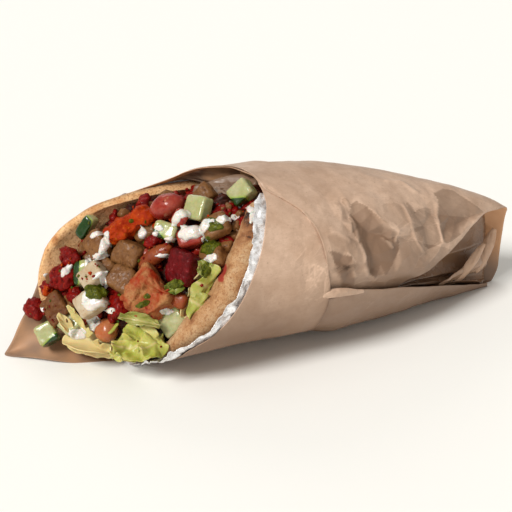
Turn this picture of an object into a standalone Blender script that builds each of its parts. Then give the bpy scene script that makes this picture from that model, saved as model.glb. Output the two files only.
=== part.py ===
"""Gyro wrap: a flatbread pocket full of diced meat, cucumber, tomato and lettuce, rolled in foil and brown paper.

The roll lies along X. Its slanted mouth is at -X, its gathered and folded tail at +X, and its front is -Y.
Distances along the roll are called s, in millimetres from the paper's lowest front corner.
Ring angles run from 0 at the bottom over 90 at the front (-Y), 180 on top and 270 at the back.
"""

import math
import random

import bmesh
import bpy
import numpy as np
from mathutils import Vector

MM = 0.001
HALF = 130.0  # half of the overall length, so that the roll is centred on the origin
PAPER = 1.0  # solid thickness of the paper, two sheets and the air between
FOIL = 0.6  # solid thickness of the foil, two crinkled layers
GAP = 0.35  # free gap between neighbouring solids
SLACK = 2.5  # extra room under the crumpled part of the paper
SINK = 1.2  # how far the round bottom is pressed flat where the roll rests
STEP = 0.8  # height of one overlapping sheet edge

# half height, half depth and sideways drift of the rolled paper along s
RISE = ((0, 46.5), (90, 46.5), (111, 44.6), (155, 41), (185, 37), (203, 34), (240, 28), (260, 22.5))
REACH = ((0, 47), (130, 47), (155, 44), (185, 38), (205, 30), (230, 19), (260, 3))
SWAY = ((0, 0), (180, 0), (260, -8))
# the sleeve is drawn flatter under its front: ring angle, share of the full radius
KEEL = (
    (0, 1), (6, 0.972), (12, 0.938), (20, 0.912), (28, 0.9), (40, 0.912), (50, 0.94), (62, 0.968),
    (76, 0.99), (90, 1), (180, 1), (270, 1), (345, 1),
)

# where each sheet starts: ring angle, then s
PAPER_EDGE = (
    (0, 54), (16, 58), (56, 62), (69, 74.5), (90, 88), (115, 99.5), (132, 105), (150, 110.5),
    (157, 108), (165, 104), (181, 100), (200, 97), (215, 97), (221, 97), (225, 91), (229, 86),
    (233, 79), (236, 72), (239, 65), (243, 55), (251, 45), (260, 36), (270, 28.5), (290, 22),
    (305, 13.5), (315, 6), (325, 0), (345, 25),
)
BREAD_EDGE = (
    (0, 48), (20, 52), (45, 57), (60, 60.5), (75, 67), (90, 75.5), (110, 84.5), (130, 94), (140, 98),
    (148, 102), (153, 108), (158, 114), (165, 117), (225, 117), (231, 113), (233, 95),
    (235, 74), (240, 54), (248, 42), (257, 33), (270, 25.5), (290, 20.5), (305, 20), (320, 24),
    (335, 32), (350, 41),
)
FOIL_EDGE = (
    (0, 49), (20, 50), (45, 53), (56, 57), (69, 69.5), (90, 84), (115, 96), (132, 101.5),
    (145, 105.5), (153, 109.5), (160, 114), (175, 118), (225, 118), (231, 115.5), (233, 99), (235, 78),
    (240, 58), (248, 47), (257, 38), (270, 31), (290, 27), (305, 25), (320, 27), (335, 36), (350, 45),
)
# where the lower sleeve and the upper sheet lap, and where the folded tail ends
SEAM = (
    (0, 138), (20, 134), (40, 131), (60, 130), (82, 131), (102, 131), (117, 130), (126, 129),
    (138, 125), (148, 118.5), (157, 114), (165, 110), (180, 108), (200, 108), (230, 115), (260, 125),
    (300, 135), (345, 138),
)
TAIL_EDGE = (
    (0, 250), (20, 249), (36, 246), (58, 218), (70, 196), (77, 178), (83, 187), (92, 201),
    (108, 218), (132, 237), (150, 252), (172, 258), (200, 260), (300, 259), (345, 254),
)
# bread thickness at its edge; deeper inside it thins to BREAD_WALL
LIP = (
    (0, 5.5), (30, 6), (50, 7), (70, 9.5), (90, 12), (120, 12), (140, 10), (152, 7), (160, 4.5), (230, 4.5), (330, 5),
)
BREAD_WALL = 5.0

# big creases of the paper: s, ring angle, height
CREASES = (
    (140, 144, 0.9), (152, 144, 1.3), (158, 138, 0.2), (168, 142, 1.3), (176, 128, -0.6), (187, 140, 0.7),
    (188, 161, 1.3), (200, 147, 1.6), (218, 164, 1.5), (225, 151, 1.3), (236, 136, 0.9), (150, 118, -1.4),
    (165, 108, -1.0), (162, 92, 0.5), (146, 100, -0.9), (143, 88, 0.6), (180, 108, -1.7), (176, 90, -0.2),
    (196, 122, -1.5), (210, 118, -0.8), (200, 105, 0.2), (136, 120, 0.1), (150, 70, 0.4), (170, 60, -0.6),
    (195, 45, 0.3), (160, 180, 0.2), (190, 195, -0.7), (215, 190, 0.5), (235, 180, -0.6), (170, 230, -0.9),
    (195, 250, 0.9), (220, 230, -0.9), (240, 250, 0.4), (165, 280, 0.7), (190, 300, -0.8), (220, 290, 0.6),
    (240, 300, -0.5), (180, 330, 0.2), (215, 335, -0.2),
)

# the heap that fills the mouth: its centre, its outward normal and its two directions
HEAP = np.array((55.0, 0.0, 46.0))
OUT = np.array((-0.6816, -0.4812, 0.5513))
OUT /= np.linalg.norm(OUT)
ALONG = np.array((0.724, -0.351, 0.591))
ALONG -= OUT * (ALONG @ OUT)
ALONG /= np.linalg.norm(ALONG)
ACROSS = np.cross(OUT, ALONG)
BED_ROOM = 1.0  # free room between the bed and the bread
BED_DEPTH = 4.5  # how far the bed of small filling lies under the heap's surface

# name, position along, across and above the heap, size along, across and deep, turn, form
PIECES = (
    ("cucumber_1", 61.5, 6.5, -6, 12.5, 10.5, 9, 8, "cube"),
    ("tomato_1", 27.5, 19.5, -2, 16.5, 12.5, 10.5, 10, "round"),
    ("cucumber_2", 41, 8, 0, 12, 12, 7, 45, "cube"),
    ("chicken_1", 8, 22.5, -1, 25, 10, 9, 8, "chunk"),
    ("cucumber_3", -11.5, 33.5, -1, 11, 4.5, 6.5, 20, "slice"),
    ("tomato_2", 32, 6.5, 3, 7, 6.5, 4, 20, "chunk"),
    ("cucumber_4", 24.5, 6, 2, 10, 7, 5.5, -45, "slice"),
    ("meat_8", 44.5, -5.5, 1, 12, 10.5, 7, -5, "chunk"),
    ("meat_9", 37, -12.5, 1, 12.5, 12, 7, -20, "chunk"),
    ("red_8", 16, 8.5, 0, 12.5, 7.5, 6.5, 0, "lump"),
    ("pepper_1", 13, 0.5, 1, 20.5, 8, 5, -4, "round"),
    ("beet_1", 22.5, -11.5, 2, 15.5, 14.5, 9, 40, "chunk"),
    ("red_9", 9.5, -1.5, -3, 8.5, 7.5, 5, 10, "lump"),
    ("meat_1", -9.5, 20, 1, 12, 14.5, 8, 5, "chunk"),
    ("meat_2", 0, 12, -1, 12, 13.5, 8, 30, "chunk"),
    ("red_1", -26.5, 25, 0, 9.5, 9.5, 6.5, 0, "lump"),
    ("red_2", -37, 19, 0, 12.5, 12, 7, 15, "lump"),
    ("cucumber_5", -23.5, 14.5, 0, 7.5, 10.5, 6.5, -20, "slice"),
    ("potato_1", -16, 7, 3, 12, 10, 8, 10, "cube"),
    ("meat_3", -11, 9.5, 0, 12, 8.5, 6.5, 20, "chunk"),
    ("meat_4", -5.5, -0.5, 2, 12.5, 13.5, 8, 30, "chunk"),
    ("chicken_2", 2, -14.5, 2, 20, 19, 10.5, 15, "chunk"),
    ("potato_2", -23.5, -0.5, 2, 13.5, 10.5, 7, 0, "cube"),
    ("red_3", -16.5, -7.5, 0, 9.5, 12, 6.5, 20, "lump"),
    ("red_4", -31.5, 8.5, 0, 8.5, 9.5, 6.5, 0, "lump"),
    ("meat_5", -46, 9, -3.5, 12.5, 14.5, 9, 8, "cube"),
    ("red_5", -56, 16.5, -5, 8.5, 9.5, 6.5, 20, "lump"),
    ("cucumber_7", -57.5, 2.5, -12, 10.5, 11, 9, -5, "cube"),
    ("cucumber_8", -42, 1.5, -6.5, 9, 9, 5.5, 20, "cube"),
    ("bean_1", -42.5, -5.5, -11, 12, 7.5, 5.5, -20, "round"),
    ("tomato_4", -27.5, -13, -6, 12.5, 12, 9, 0, "round"),
    ("tomato_5", -30.5, -3, -2.5, 10.5, 6, 5.5, -10, "slice"),
    ("cucumber_9", 4, -30.5, -1.5, 12, 10.5, 8, 5, "cube"),
    ("pepper_2", 11, -23.5, 2, 6.5, 7.5, 5, 30, "chunk"),
    ("red_6", 49, 3.5, -5, 12, 7.5, 6.5, -10, "lump"),
    ("meat_7", -8.5, 13.5, -5, 10, 8, 7, 15, "chunk"),
    ("tomato_3", 29, -2.5, 0, 11, 8, 8, -15, "slice"),
    ("meat_10", 10.5, 14, -4, 11, 7, 7, 5, "chunk"),
    ("red_7", 40, -4, -4, 8, 7, 6, 25, "lump"),
    ("meat_6", 44.5, 16, -8, 9.5, 8.5, 7, 10, "chunk"),
)

# lettuce: name, one edge, the other edge (along, across, above the heap), most that it may be lifted
LEAVES = (
    ("lettuce_1", ((-50, -1, -7), (-50.5, -7, -9), (-47, -14, -10), (-39, -20.5, -10), (-31.5, -24.5, -10)),
     ((-46, -2, -9), (-44.5, -7, -11), (-41, -11, -11), (-34, -14, -9), (-28.5, -17, -8)), 6),
    ("lettuce_2", ((-28, -20.5, -8), (-27.5, -27, -8), (-23, -33, -7), (-16, -38, -6), (-8, -41, -4)),
     ((-19.5, -18.5, -3), (-14, -21, -0.5), (-9, -24, 0.5), (-5.5, -29.5, 0), (-3, -37, -2.5)), 8),
    ("lettuce_3", ((-10, -24, 2), (-10.5, -29.5, 2), (-9, -35, 0), (-6, -39, -1)),
     ((-6, -26.5, 2), (-3.5, -30, 2.5), (-2, -34, 1.5), (-2.5, -38, 0)), 8),
    ("lettuce_4", ((-37, 5, 3), (-38, 0, 0), (-37, -5.5, -3), (-36, -11.5, -8)),
     ((-34.5, 4.5, 4), (-32, -1.5, 3), (-31.5, -7, 1), (-32.5, -12, -5)), 5),
    ("lettuce_5", ((-9, -20.5, 7), (-7.5, -25, 5), (-5, -30, 3), (-3.5, -34, 0)),
     ((-7, -20, 8), (-3.5, -24, 7), (-1, -29, 4.5), (0, -34, 1)), 9),
    ("lettuce_6", ((32, -18.5, 3), (26, -18.5, 2), (20, -21.5, 1), (15, -23.5, 1), (11.5, -28, 1), (11.5, -37, -1)),
     ((34.5, -20.5, 1), (30, -20, 0), (25.5, -21.5, -1), (19, -25.5, -1), (15, -29, -1), (13, -36, -2)), 4),
    ("lettuce_7", ((32.5, -22, -2), (26, -22, -2), (21, -24.5, -3), (17.5, -27.5, -4), (16.5, -32.5, -4)),
     ((33, -24, -2), (28, -26, -2), (23.5, -29.5, -3), (20, -32.5, -4), (18.5, -35, -5)), 4),
    ("lettuce_8", ((-20, -14.5, -5), (-18.5, -17.5, -6), (-15, -20.5, -6), (-10, -21, -4)),
     ((-18.5, -11.5, -5), (-14.5, -13.5, -4), (-11, -16, -4), (-8.5, -18, -4)), 3),
    ("lettuce_9", ((-26, -15.5, -5), (-24.5, -19, -6), (-22.5, -22, -6), (-20.5, -23.5, -6)),
     ((-19.5, -16, -3), (-17, -18.5, -2.5), (-15.5, -20, -3), (-16.5, -21, -4)), 4),
    ("lettuce_10", ((-30.5, -18.5, -9), (-31.5, -22.5, -10), (-31, -27, -9)),
     ((-24, -21, -8), (-25, -24, -9), (-27, -27.5, -9)), 4),
    ("lettuce_11", ((12, -19, 1), (14.5, -21.5, 1), (17.5, -22.5, 0)),
     ((14, -17, 0), (17, -17.5, 0), (19.5, -19.5, -1)), 8),
)
LEAF = 0.9  # lettuce thickness

COLOURS = {
    "paper": ((0.52, 0.35, 0.24), 0.75, 0.0),
    "foil": ((0.78, 0.79, 0.80), 0.25, 1.0),
    "bread": ((0.66, 0.40, 0.17), 0.8, 0.0),
    "bed": ((0.20, 0.07, 0.03), 0.6, 0.0),
    "cucumber": ((0.42, 0.52, 0.16), 0.4, 0.0),
    "tomato": ((0.55, 0.07, 0.04), 0.3, 0.0),
    "chicken": ((0.62, 0.16, 0.03), 0.5, 0.0),
    "meat": ((0.27, 0.14, 0.07), 0.6, 0.0),
    "red": ((0.32, 0.01, 0.01), 0.4, 0.0),
    "beet": ((0.22, 0.01, 0.02), 0.35, 0.0),
    "pepper": ((0.45, 0.12, 0.03), 0.4, 0.0),
    "potato": ((0.72, 0.55, 0.30), 0.5, 0.0),
    "bean": ((0.55, 0.38, 0.22), 0.5, 0.0),
    "lettuce": ((0.55, 0.66, 0.12), 0.45, 0.0),
}

RING = sorted(set(range(0, 360, 8)) | {28, 36, 76, 84, 228, 231, 233, 235, 238, 242, 308, 316, 325, 332})
THETA = np.array(RING, float)
DEEP = (142, 152)  # under the crumpled part every layer follows the same steps


def curve(table, x, period=None):
    """Smooth interpolation through a table that never overshoots it."""
    t = np.array(table, float)
    if period:
        t = np.vstack([t[-3:] - (period, 0), t, t[:3] + (period, 0)])
    px, py = t[:, 0], t[:, 1]
    h = np.diff(px)
    d = np.diff(py) / h
    m = np.concatenate([[d[0]], np.zeros(len(h) - 1), [d[-1]]])
    for i in range(1, len(h)):
        if d[i - 1] * d[i] > 0:
            m[i] = 2 * d[i - 1] * d[i] / (d[i - 1] + d[i])
    x = np.clip(np.asarray(x, float), px[0], px[-1])
    k = np.clip(np.searchsorted(px, x, side="right") - 1, 0, len(h) - 1)
    u = (x - px[k]) / h[k]
    a = py[k] * (1 + 2 * u) * (1 - u) ** 2 + py[k + 1] * u * u * (3 - 2 * u)
    return a + h[k] * (m[k] * u * (1 - u) ** 2 - m[k + 1] * u * u * (1 - u))


def around(table, t):
    return curve(table, np.mod(t, 360), 360)


def smooth(lo, hi, x):
    u = np.clip((np.asarray(x, float) - lo) / (hi - lo), 0, 1)
    return u * u * (3 - 2 * u)


def keel(s, t):
    return 1 - (1 - around(KEEL, t)) * (1 - smooth(128, 150, s))


def section(s, t, inset):
    """Points at distance s and ring angle t, a given depth under the paper's outer face."""
    s, t, inset = np.broadcast_arrays(np.asarray(s, float), np.asarray(t, float), np.asarray(inset, float))
    a = np.radians(t)
    rise = curve(RISE, s)
    flat = smooth(308, 325, t) * (1 - smooth(335, 355, t)) * (1 - smooth(0, 22, s))
    share = keel(s, t)
    y = curve(SWAY, s) - (curve(REACH, s) * share - inset) * np.sin(a) + 7 * flat
    z = (rise - SINK - rise * share * np.cos(a)) * (1 - flat)
    z = np.maximum(z, 0) + inset * (np.cos(a) + (1 - np.cos(a)) * flat)
    return np.stack([s, y, np.maximum(z, np.maximum(inset, 0))], -1)


def crease_height(s, t):
    """Height of the crumpled paper over its smooth form: each crease pulls the paper near it."""
    s, t = np.broadcast_arrays(np.asarray(s, float), np.asarray(t, float))
    total = np.zeros(s.shape)
    weight = np.full(s.shape, 1e-3)
    for cs, ct, h in CREASES:
        turn = (t - ct + 180) % 360 - 180
        d = np.hypot(s - cs, turn * 0.7)
        w = np.exp(-((d / 8) ** 1.3))
        total += w * h
        weight += w
    fade = smooth(128, 142, s) * (1 - smooth(246, 254, s)) * smooth(18, 40, t) * (1 - smooth(325, 345, t))
    return np.clip(1.1 * total / weight, -1.8, 1.6) * fade


def slack(s):
    return SLACK * np.clip((np.asarray(s, float) - 122) / 20, 0, 1)


def lip_step(s, t):
    """The lapped seam: over the front the lower sleeve lies on top low down, the upper sheet higher up."""
    side = s - around(SEAM, t)
    low = smooth(0, 20, t) * (1 - smooth(88, 100, t))
    high = smooth(108, 120, t) * (1 - smooth(165, 178, t))
    return STEP * np.where(side < 0, low * (1 - smooth(6, 34, -side)), high * (1 - smooth(4, 26, side)))


def material(kind):
    found = bpy.data.materials.get(kind)
    if found:
        return found
    made = bpy.data.materials.new(kind)
    made.use_nodes = True
    colour, rough, metal = COLOURS[kind]
    shader = made.node_tree.nodes["Principled BSDF"]
    shader.inputs["Base Color"].default_value = (*colour, 1)
    shader.inputs["Roughness"].default_value = rough
    shader.inputs["Metallic"].default_value = metal
    made.diffuse_color = (*colour, 1)
    return made


def add(name, bm, kind, angle=None):
    """A new object from a mesh in millimetres along the roll, moved to the centred frame in metres."""
    for v in bm.verts:
        v.co = Vector(((v.co.x - HALF) * MM, v.co.y * MM, v.co.z * MM))
    bmesh.ops.recalc_face_normals(bm, faces=bm.faces)
    if bm.calc_volume(signed=True) < 0:
        bmesh.ops.reverse_faces(bm, faces=bm.faces)
    mesh = bpy.data.meshes.new(name)
    bm.to_mesh(mesh)
    bm.free()
    mesh.materials.append(material(kind))
    mesh.shade_smooth()
    if angle:
        mesh.set_sharp_from_angle(angle=math.radians(angle))
    made = bpy.data.objects.new(name, mesh)
    bpy.context.scene.collection.objects.link(made)
    return made


def loft(rings, poles=None):
    """Mesh through rings of equal count: closed by a pole at each end, or looped back on itself."""
    bm = bmesh.new()
    rows = [[bm.verts.new(p) for p in ring] for ring in rings]
    count = len(rows[0])
    pairs = list(zip(rows[:-1], rows[1:]))
    if poles is None:
        pairs.append((rows[-1], rows[0]))
    for a, b in pairs:
        for i in range(count):
            j = (i + 1) % count
            bm.faces.new((a[i], a[j], b[j], b[i]))
    if poles is not None:
        for pole, row, flip in ((poles[0], rows[0], 1), (poles[1], rows[-1], 0)):
            tip = bm.verts.new(pole)
            for i in range(count):
                j = (i + 1) % count
                bm.faces.new((tip, row[j], row[i]) if flip else (tip, row[i], row[j]))
    return bm


def build_paper():
    t = THETA
    edge = around(PAPER_EDGE, t)
    seam = np.maximum(around(SEAM, t), edge + 4)
    tail = around(TAIL_EDGE, t)
    rings = []
    for s, inset in ((190, 17), (184, 9.5), (175, 5.6), (164, 3.7)):
        rings.append(section(s, t, inset))
    for s in DEEP[::-1]:
        rings.append(section(s, t, PAPER + slack(s)))
    near = np.minimum(118, seam - 1.2)
    rings.append(section(122, t, PAPER))
    for f in (1.0, 0.6, 0.34, 0.18, 0.11, 0.05, 0.0):
        rings.append(section(edge + (near - edge) * f, t, PAPER))
    for f in (0.0, 0.05, 0.11, 0.18, 0.34, 0.6, 1.0):
        s = edge + (near - edge) * f
        rings.append(section(s, t, -lip_step(s, t)))
    for side in (-0.3, 0.3):
        s = seam + side
        rings.append(section(s, t, -lip_step(s, t)))
    for f in (0.05, 0.12, 0.2, 0.29, 0.38, 0.47, 0.56, 0.65, 0.74, 0.83, 0.92, 1.0):
        s = seam + 0.3 + (tail - seam - 0.3) * f
        rings.append(section(s, t, -lip_step(s, t) - crease_height(s, t)))
    rings.append(section(tail - 0.3, t, 1.1))
    far = smooth(150, 178, t) * (1 - smooth(345, 360, t))
    s = np.where(far > 0.5, 246, np.maximum(tail + 3, 198))
    rings.append(section(s, t, np.where(far > 0.5, 2.0, np.where(tail > 230, 2.2, 4.5))))
    s = 232 + 0 * t
    low = section(s, t, 7.0)
    rings.append(low * 0.75 + np.array((224, -8, 24)) * 0.25)
    rings.append(low * 0.35 + np.array((224, -8, 24)) * 0.65)
    bm = loft(rings, ((193, 0, 35), (224, -9, 24)))
    return add("paper_wrap", bm, "paper", 40)


def build_foil():
    t = THETA
    edge = around(FOIL_EDGE, t)
    inner, outer = [], []
    for f in (0.0, 0.12, 0.45, 1.0):
        s = edge + (122 - edge) * f
        outer.append(section(s, t, PAPER + GAP + slack(s)))
        inner.append(section(s, t, PAPER + GAP + FOIL + slack(s)))
    return add("foil_liner", loft(outer + inner[::-1]), "foil", 40)


def bread_depth(s, t):
    """Bread thickness at s and ring angle t: full at the rolled lip, thin further inside."""
    lip = around(LIP, t)
    return lip + (BREAD_WALL - lip) * smooth(0, 26, s - around(BREAD_EDGE, t) - 0.9 * lip)


def build_bread():
    t = THETA
    skin = PAPER + 2 * GAP + FOIL
    edge = around(BREAD_EDGE, t)
    lip = around(LIP, t)
    rings = []
    for s, inset in ((176, 22), (168, 13.5)):
        rings.append(section(s, t, inset))
    for s in DEEP[::-1]:
        rings.append(section(s, t, skin + slack(s) + BREAD_WALL))
    for f in (1.0, 0.66, 0.4, 0.24, 0.11):
        s = edge + 0.9 * lip + (122 - edge - 0.9 * lip) * f
        rings.append(section(s, t, skin + slack(s) + bread_depth(s, t)))
    for reach, depth in ((0.9, 1.0), (0.4, 0.97), (0.1, 0.82), (0.0, 0.5), (0.1, 0.18), (0.4, 0.03), (0.9, 0.0)):
        s = edge + reach * lip
        rings.append(section(s, t, skin + slack(s) + depth * lip))
    for f in (0.5, 1.0):
        s = edge + 0.9 * lip + (122 - edge - 0.9 * lip) * f
        rings.append(section(s, t, skin + slack(s)))
    for s in DEEP:
        rings.append(section(s, t, skin + slack(s)))
    for s, inset in ((164, 6.0), (174, 9.5), (182, 18)):
        rings.append(section(s, t, inset))
    bm = loft(rings, ((178, 0, 36), (185, 0, 35)))
    return add("pita", bm, "bread", 50)


def heap_point(a, b, lift):
    return HEAP + a * ALONG + b * ACROSS + lift * OUT


def heap_drop(a, b):
    """The heap rounds down to the paper along its lowest edge and leaves the bread's back wall in sight."""
    d = (a + 56) * 0.637 + (b + 5) * 0.77
    back = smooth(15, 32, b + 0.12 * np.maximum(a, 0)) * smooth(-45, -15, a)
    return 13 * (1 - smooth(0, 24, d)) + 8 * back


def inside_inset(s, t):
    """Inset of the pocket's inner face: the bread where there is bread, else the paper."""
    return PAPER + 2 * GAP + FOIL + slack(s) + bread_depth(s, t)


def frame_of(p):
    """s, ring angle and depth under the paper's outer face of points."""
    p = np.atleast_2d(p)
    s = p[:, 0]
    rise, reach, sway = curve(RISE, s), curve(REACH, s), curve(SWAY, s)
    u = (sway - p[:, 1]) / reach
    v = (rise - SINK - p[:, 2]) / rise
    t = np.degrees(np.arctan2(u, v)) % 360
    share = keel(s, t)
    r = np.hypot(u, v) / share
    mean = 1 / np.hypot(np.sin(np.radians(t)) / reach, np.cos(np.radians(t)) / rise)
    return s, t, (1 - r) * mean * share


def least_depth(s, t):
    """How deep the innermost sheet reaches at s and ring angle t; far outside where there is none."""
    need = np.where(s > around(PAPER_EDGE, t) - 2, PAPER, -99)
    need = np.where(s > around(FOIL_EDGE, t) - 2, PAPER + GAP + FOIL, need)
    return np.where(s > around(BREAD_EDGE, t) - 1.5, inside_inset(s, t), need)


def hull(points):
    bm = bmesh.new()
    for p in points:
        bm.verts.new(p)
    made = bmesh.ops.convex_hull(bm, input=bm.verts)
    spare = [v for v in bm.verts if not v.link_faces]
    bmesh.ops.delete(bm, geom=spare, context="VERTS")
    bmesh.ops.triangulate(bm, faces=bm.faces)
    bmesh.ops.recalc_face_normals(bm, faces=bm.faces)
    return bm


def form_points(form, size, rng):
    """Points of one food piece about its own centre, before turning."""
    half = np.array(size) / 2
    points = []
    if form in ("cube", "chunk", "slice"):
        cut = {"cube": 0.24, "chunk": 0.42, "slice": 0.2}[form]
        rough = {"cube": 0.04, "chunk": 0.13, "slice": 0.05}[form]
        for sx in (-1, 1):
            for sy in (-1, 1):
                for sz in (-1, 1):
                    for axis in range(3):
                        p = np.array((sx, sy, sz), float)
                        p[axis] *= 1 - cut * rng.uniform(0.8, 1.3)
                        p *= 1 - cut * 0.12
                        points.append(p * (1 + rng.uniform(-rough, rough * 0.3)))
        if form == "slice":
            for sx in (-0.6, 0.6):
                for sz in (-0.7, 0.7):
                    points.append(np.array((sx, 1.12, sz)))
    else:
        count = {"round": 30, "lump": 24}[form]
        for i in range(count):
            z = 1 - (2 * i + 1) / count
            r = math.sqrt(1 - z * z)
            a = i * 2.39996
            grow = 1 + (rng.uniform(-0.22, 0.1) if form == "lump" else rng.uniform(-0.05, 0.04))
            points.append(np.array((r * math.cos(a), r * math.sin(a), z)) * grow)
    return np.array(points) * half


class Piece:
    def __init__(self, row, index):
        self.name, a, b, lift = row[0], row[1], row[2], row[3]
        rng = random.Random(100 + index)
        points = form_points(row[8], (row[4], row[5], row[6]), rng)
        turn = math.radians(row[7])
        lean = [rng.uniform(-0.28, 0.28), rng.uniform(-0.28, 0.28)]
        c, s = math.cos(turn), math.sin(turn)
        right = ALONG * c + ACROSS * s
        up = ACROSS * c - ALONG * s
        out = OUT + lean[0] * right + lean[1] * up
        out /= np.linalg.norm(out)
        right = right - out * (right @ out)
        right /= np.linalg.norm(right)
        up = np.cross(out, right)
        self.shape = points @ np.array([right, up, out])
        self.centre = heap_point(a, b, lift)
        self.home = self.centre.copy()
        self.kind = self.name.split("_")[0]
        bm = hull(self.shape)
        bm.faces.ensure_lookup_table()
        self.verts = np.array([v.co[:] for v in bm.verts])
        normals = np.array([f.normal[:] for f in bm.faces])
        keep = np.unique(np.round(normals, 2), axis=0, return_index=True)[1]
        self.normals = normals[keep]
        self.reach = (self.verts @ self.normals.T).max(0)
        self.size = min(row[4], row[5], row[6])
        bm.free()


def push_apart(a, b, gap):
    """The shortest move that parts two convex pieces, or None when they are apart."""
    between = b.centre - a.centre
    if between @ between > 34 ** 2:
        return None
    axes = np.vstack([a.normals, -b.normals])
    near = (a.verts @ axes.T).max(0)
    far = (b.verts @ axes.T).min(0) + axes @ between
    room = far - near
    best = room.argmax()
    if room[best] >= gap:
        return None
    return axes[best] * (gap - room[best])


def wall_push(points):
    """The move that brings points back inside the pocket and above the paper."""
    s, t, depth = frame_of(points)
    lack = least_depth(s, t) + 0.45 - depth
    floor = PAPER + 0.6 - points[:, 2]
    move = np.zeros(3)
    i = lack.argmax()
    if lack[i] > 0:
        inward = HEAP * (0, 1, 1) + (0, 0, -0.7) - points[i] * (0, 1, 1)
        move += inward / np.linalg.norm(inward) * lack[i]
    if floor.max() > 0:
        move += np.array((0, 0, floor.max()))
    return move


def settle(pieces):
    """Parts all pieces by small moves and keeps them in the pocket; nothing here is random."""
    for sweep in range(160):
        worst = 0.0
        for i, a in enumerate(pieces):
            for b in pieces[i + 1:]:
                move = push_apart(a, b, 0.45)
                if move is None:
                    continue
                worst = max(worst, float(np.linalg.norm(move)))
                share = b.size / (a.size + b.size)
                a.centre = a.centre - move * share * 0.6
                b.centre = b.centre + move * (1 - share) * 0.6
        for a in pieces:
            move = wall_push(a.verts + a.centre)
            worst = max(worst, float(np.linalg.norm(move)))
            a.centre = a.centre + move * 0.8
            if sweep < 90:
                a.centre = a.centre + (a.home - a.centre) * 0.03
        if sweep > 90 and worst < 0.05:
            break


def span_along(piece, p, way, swell):
    """Where the line through p along way enters and leaves a swollen convex piece, or None."""
    gap = piece.reach + swell - piece.normals @ (p - piece.centre)
    speed = piece.normals @ way
    ahead, back = speed > 1e-6, speed < -1e-6
    leave = (gap[ahead] / speed[ahead]).min()
    enter = (gap[back] / speed[back]).max()
    if enter >= leave or (gap[~ahead & ~back] < 0).any():
        return None
    return enter, leave


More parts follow.
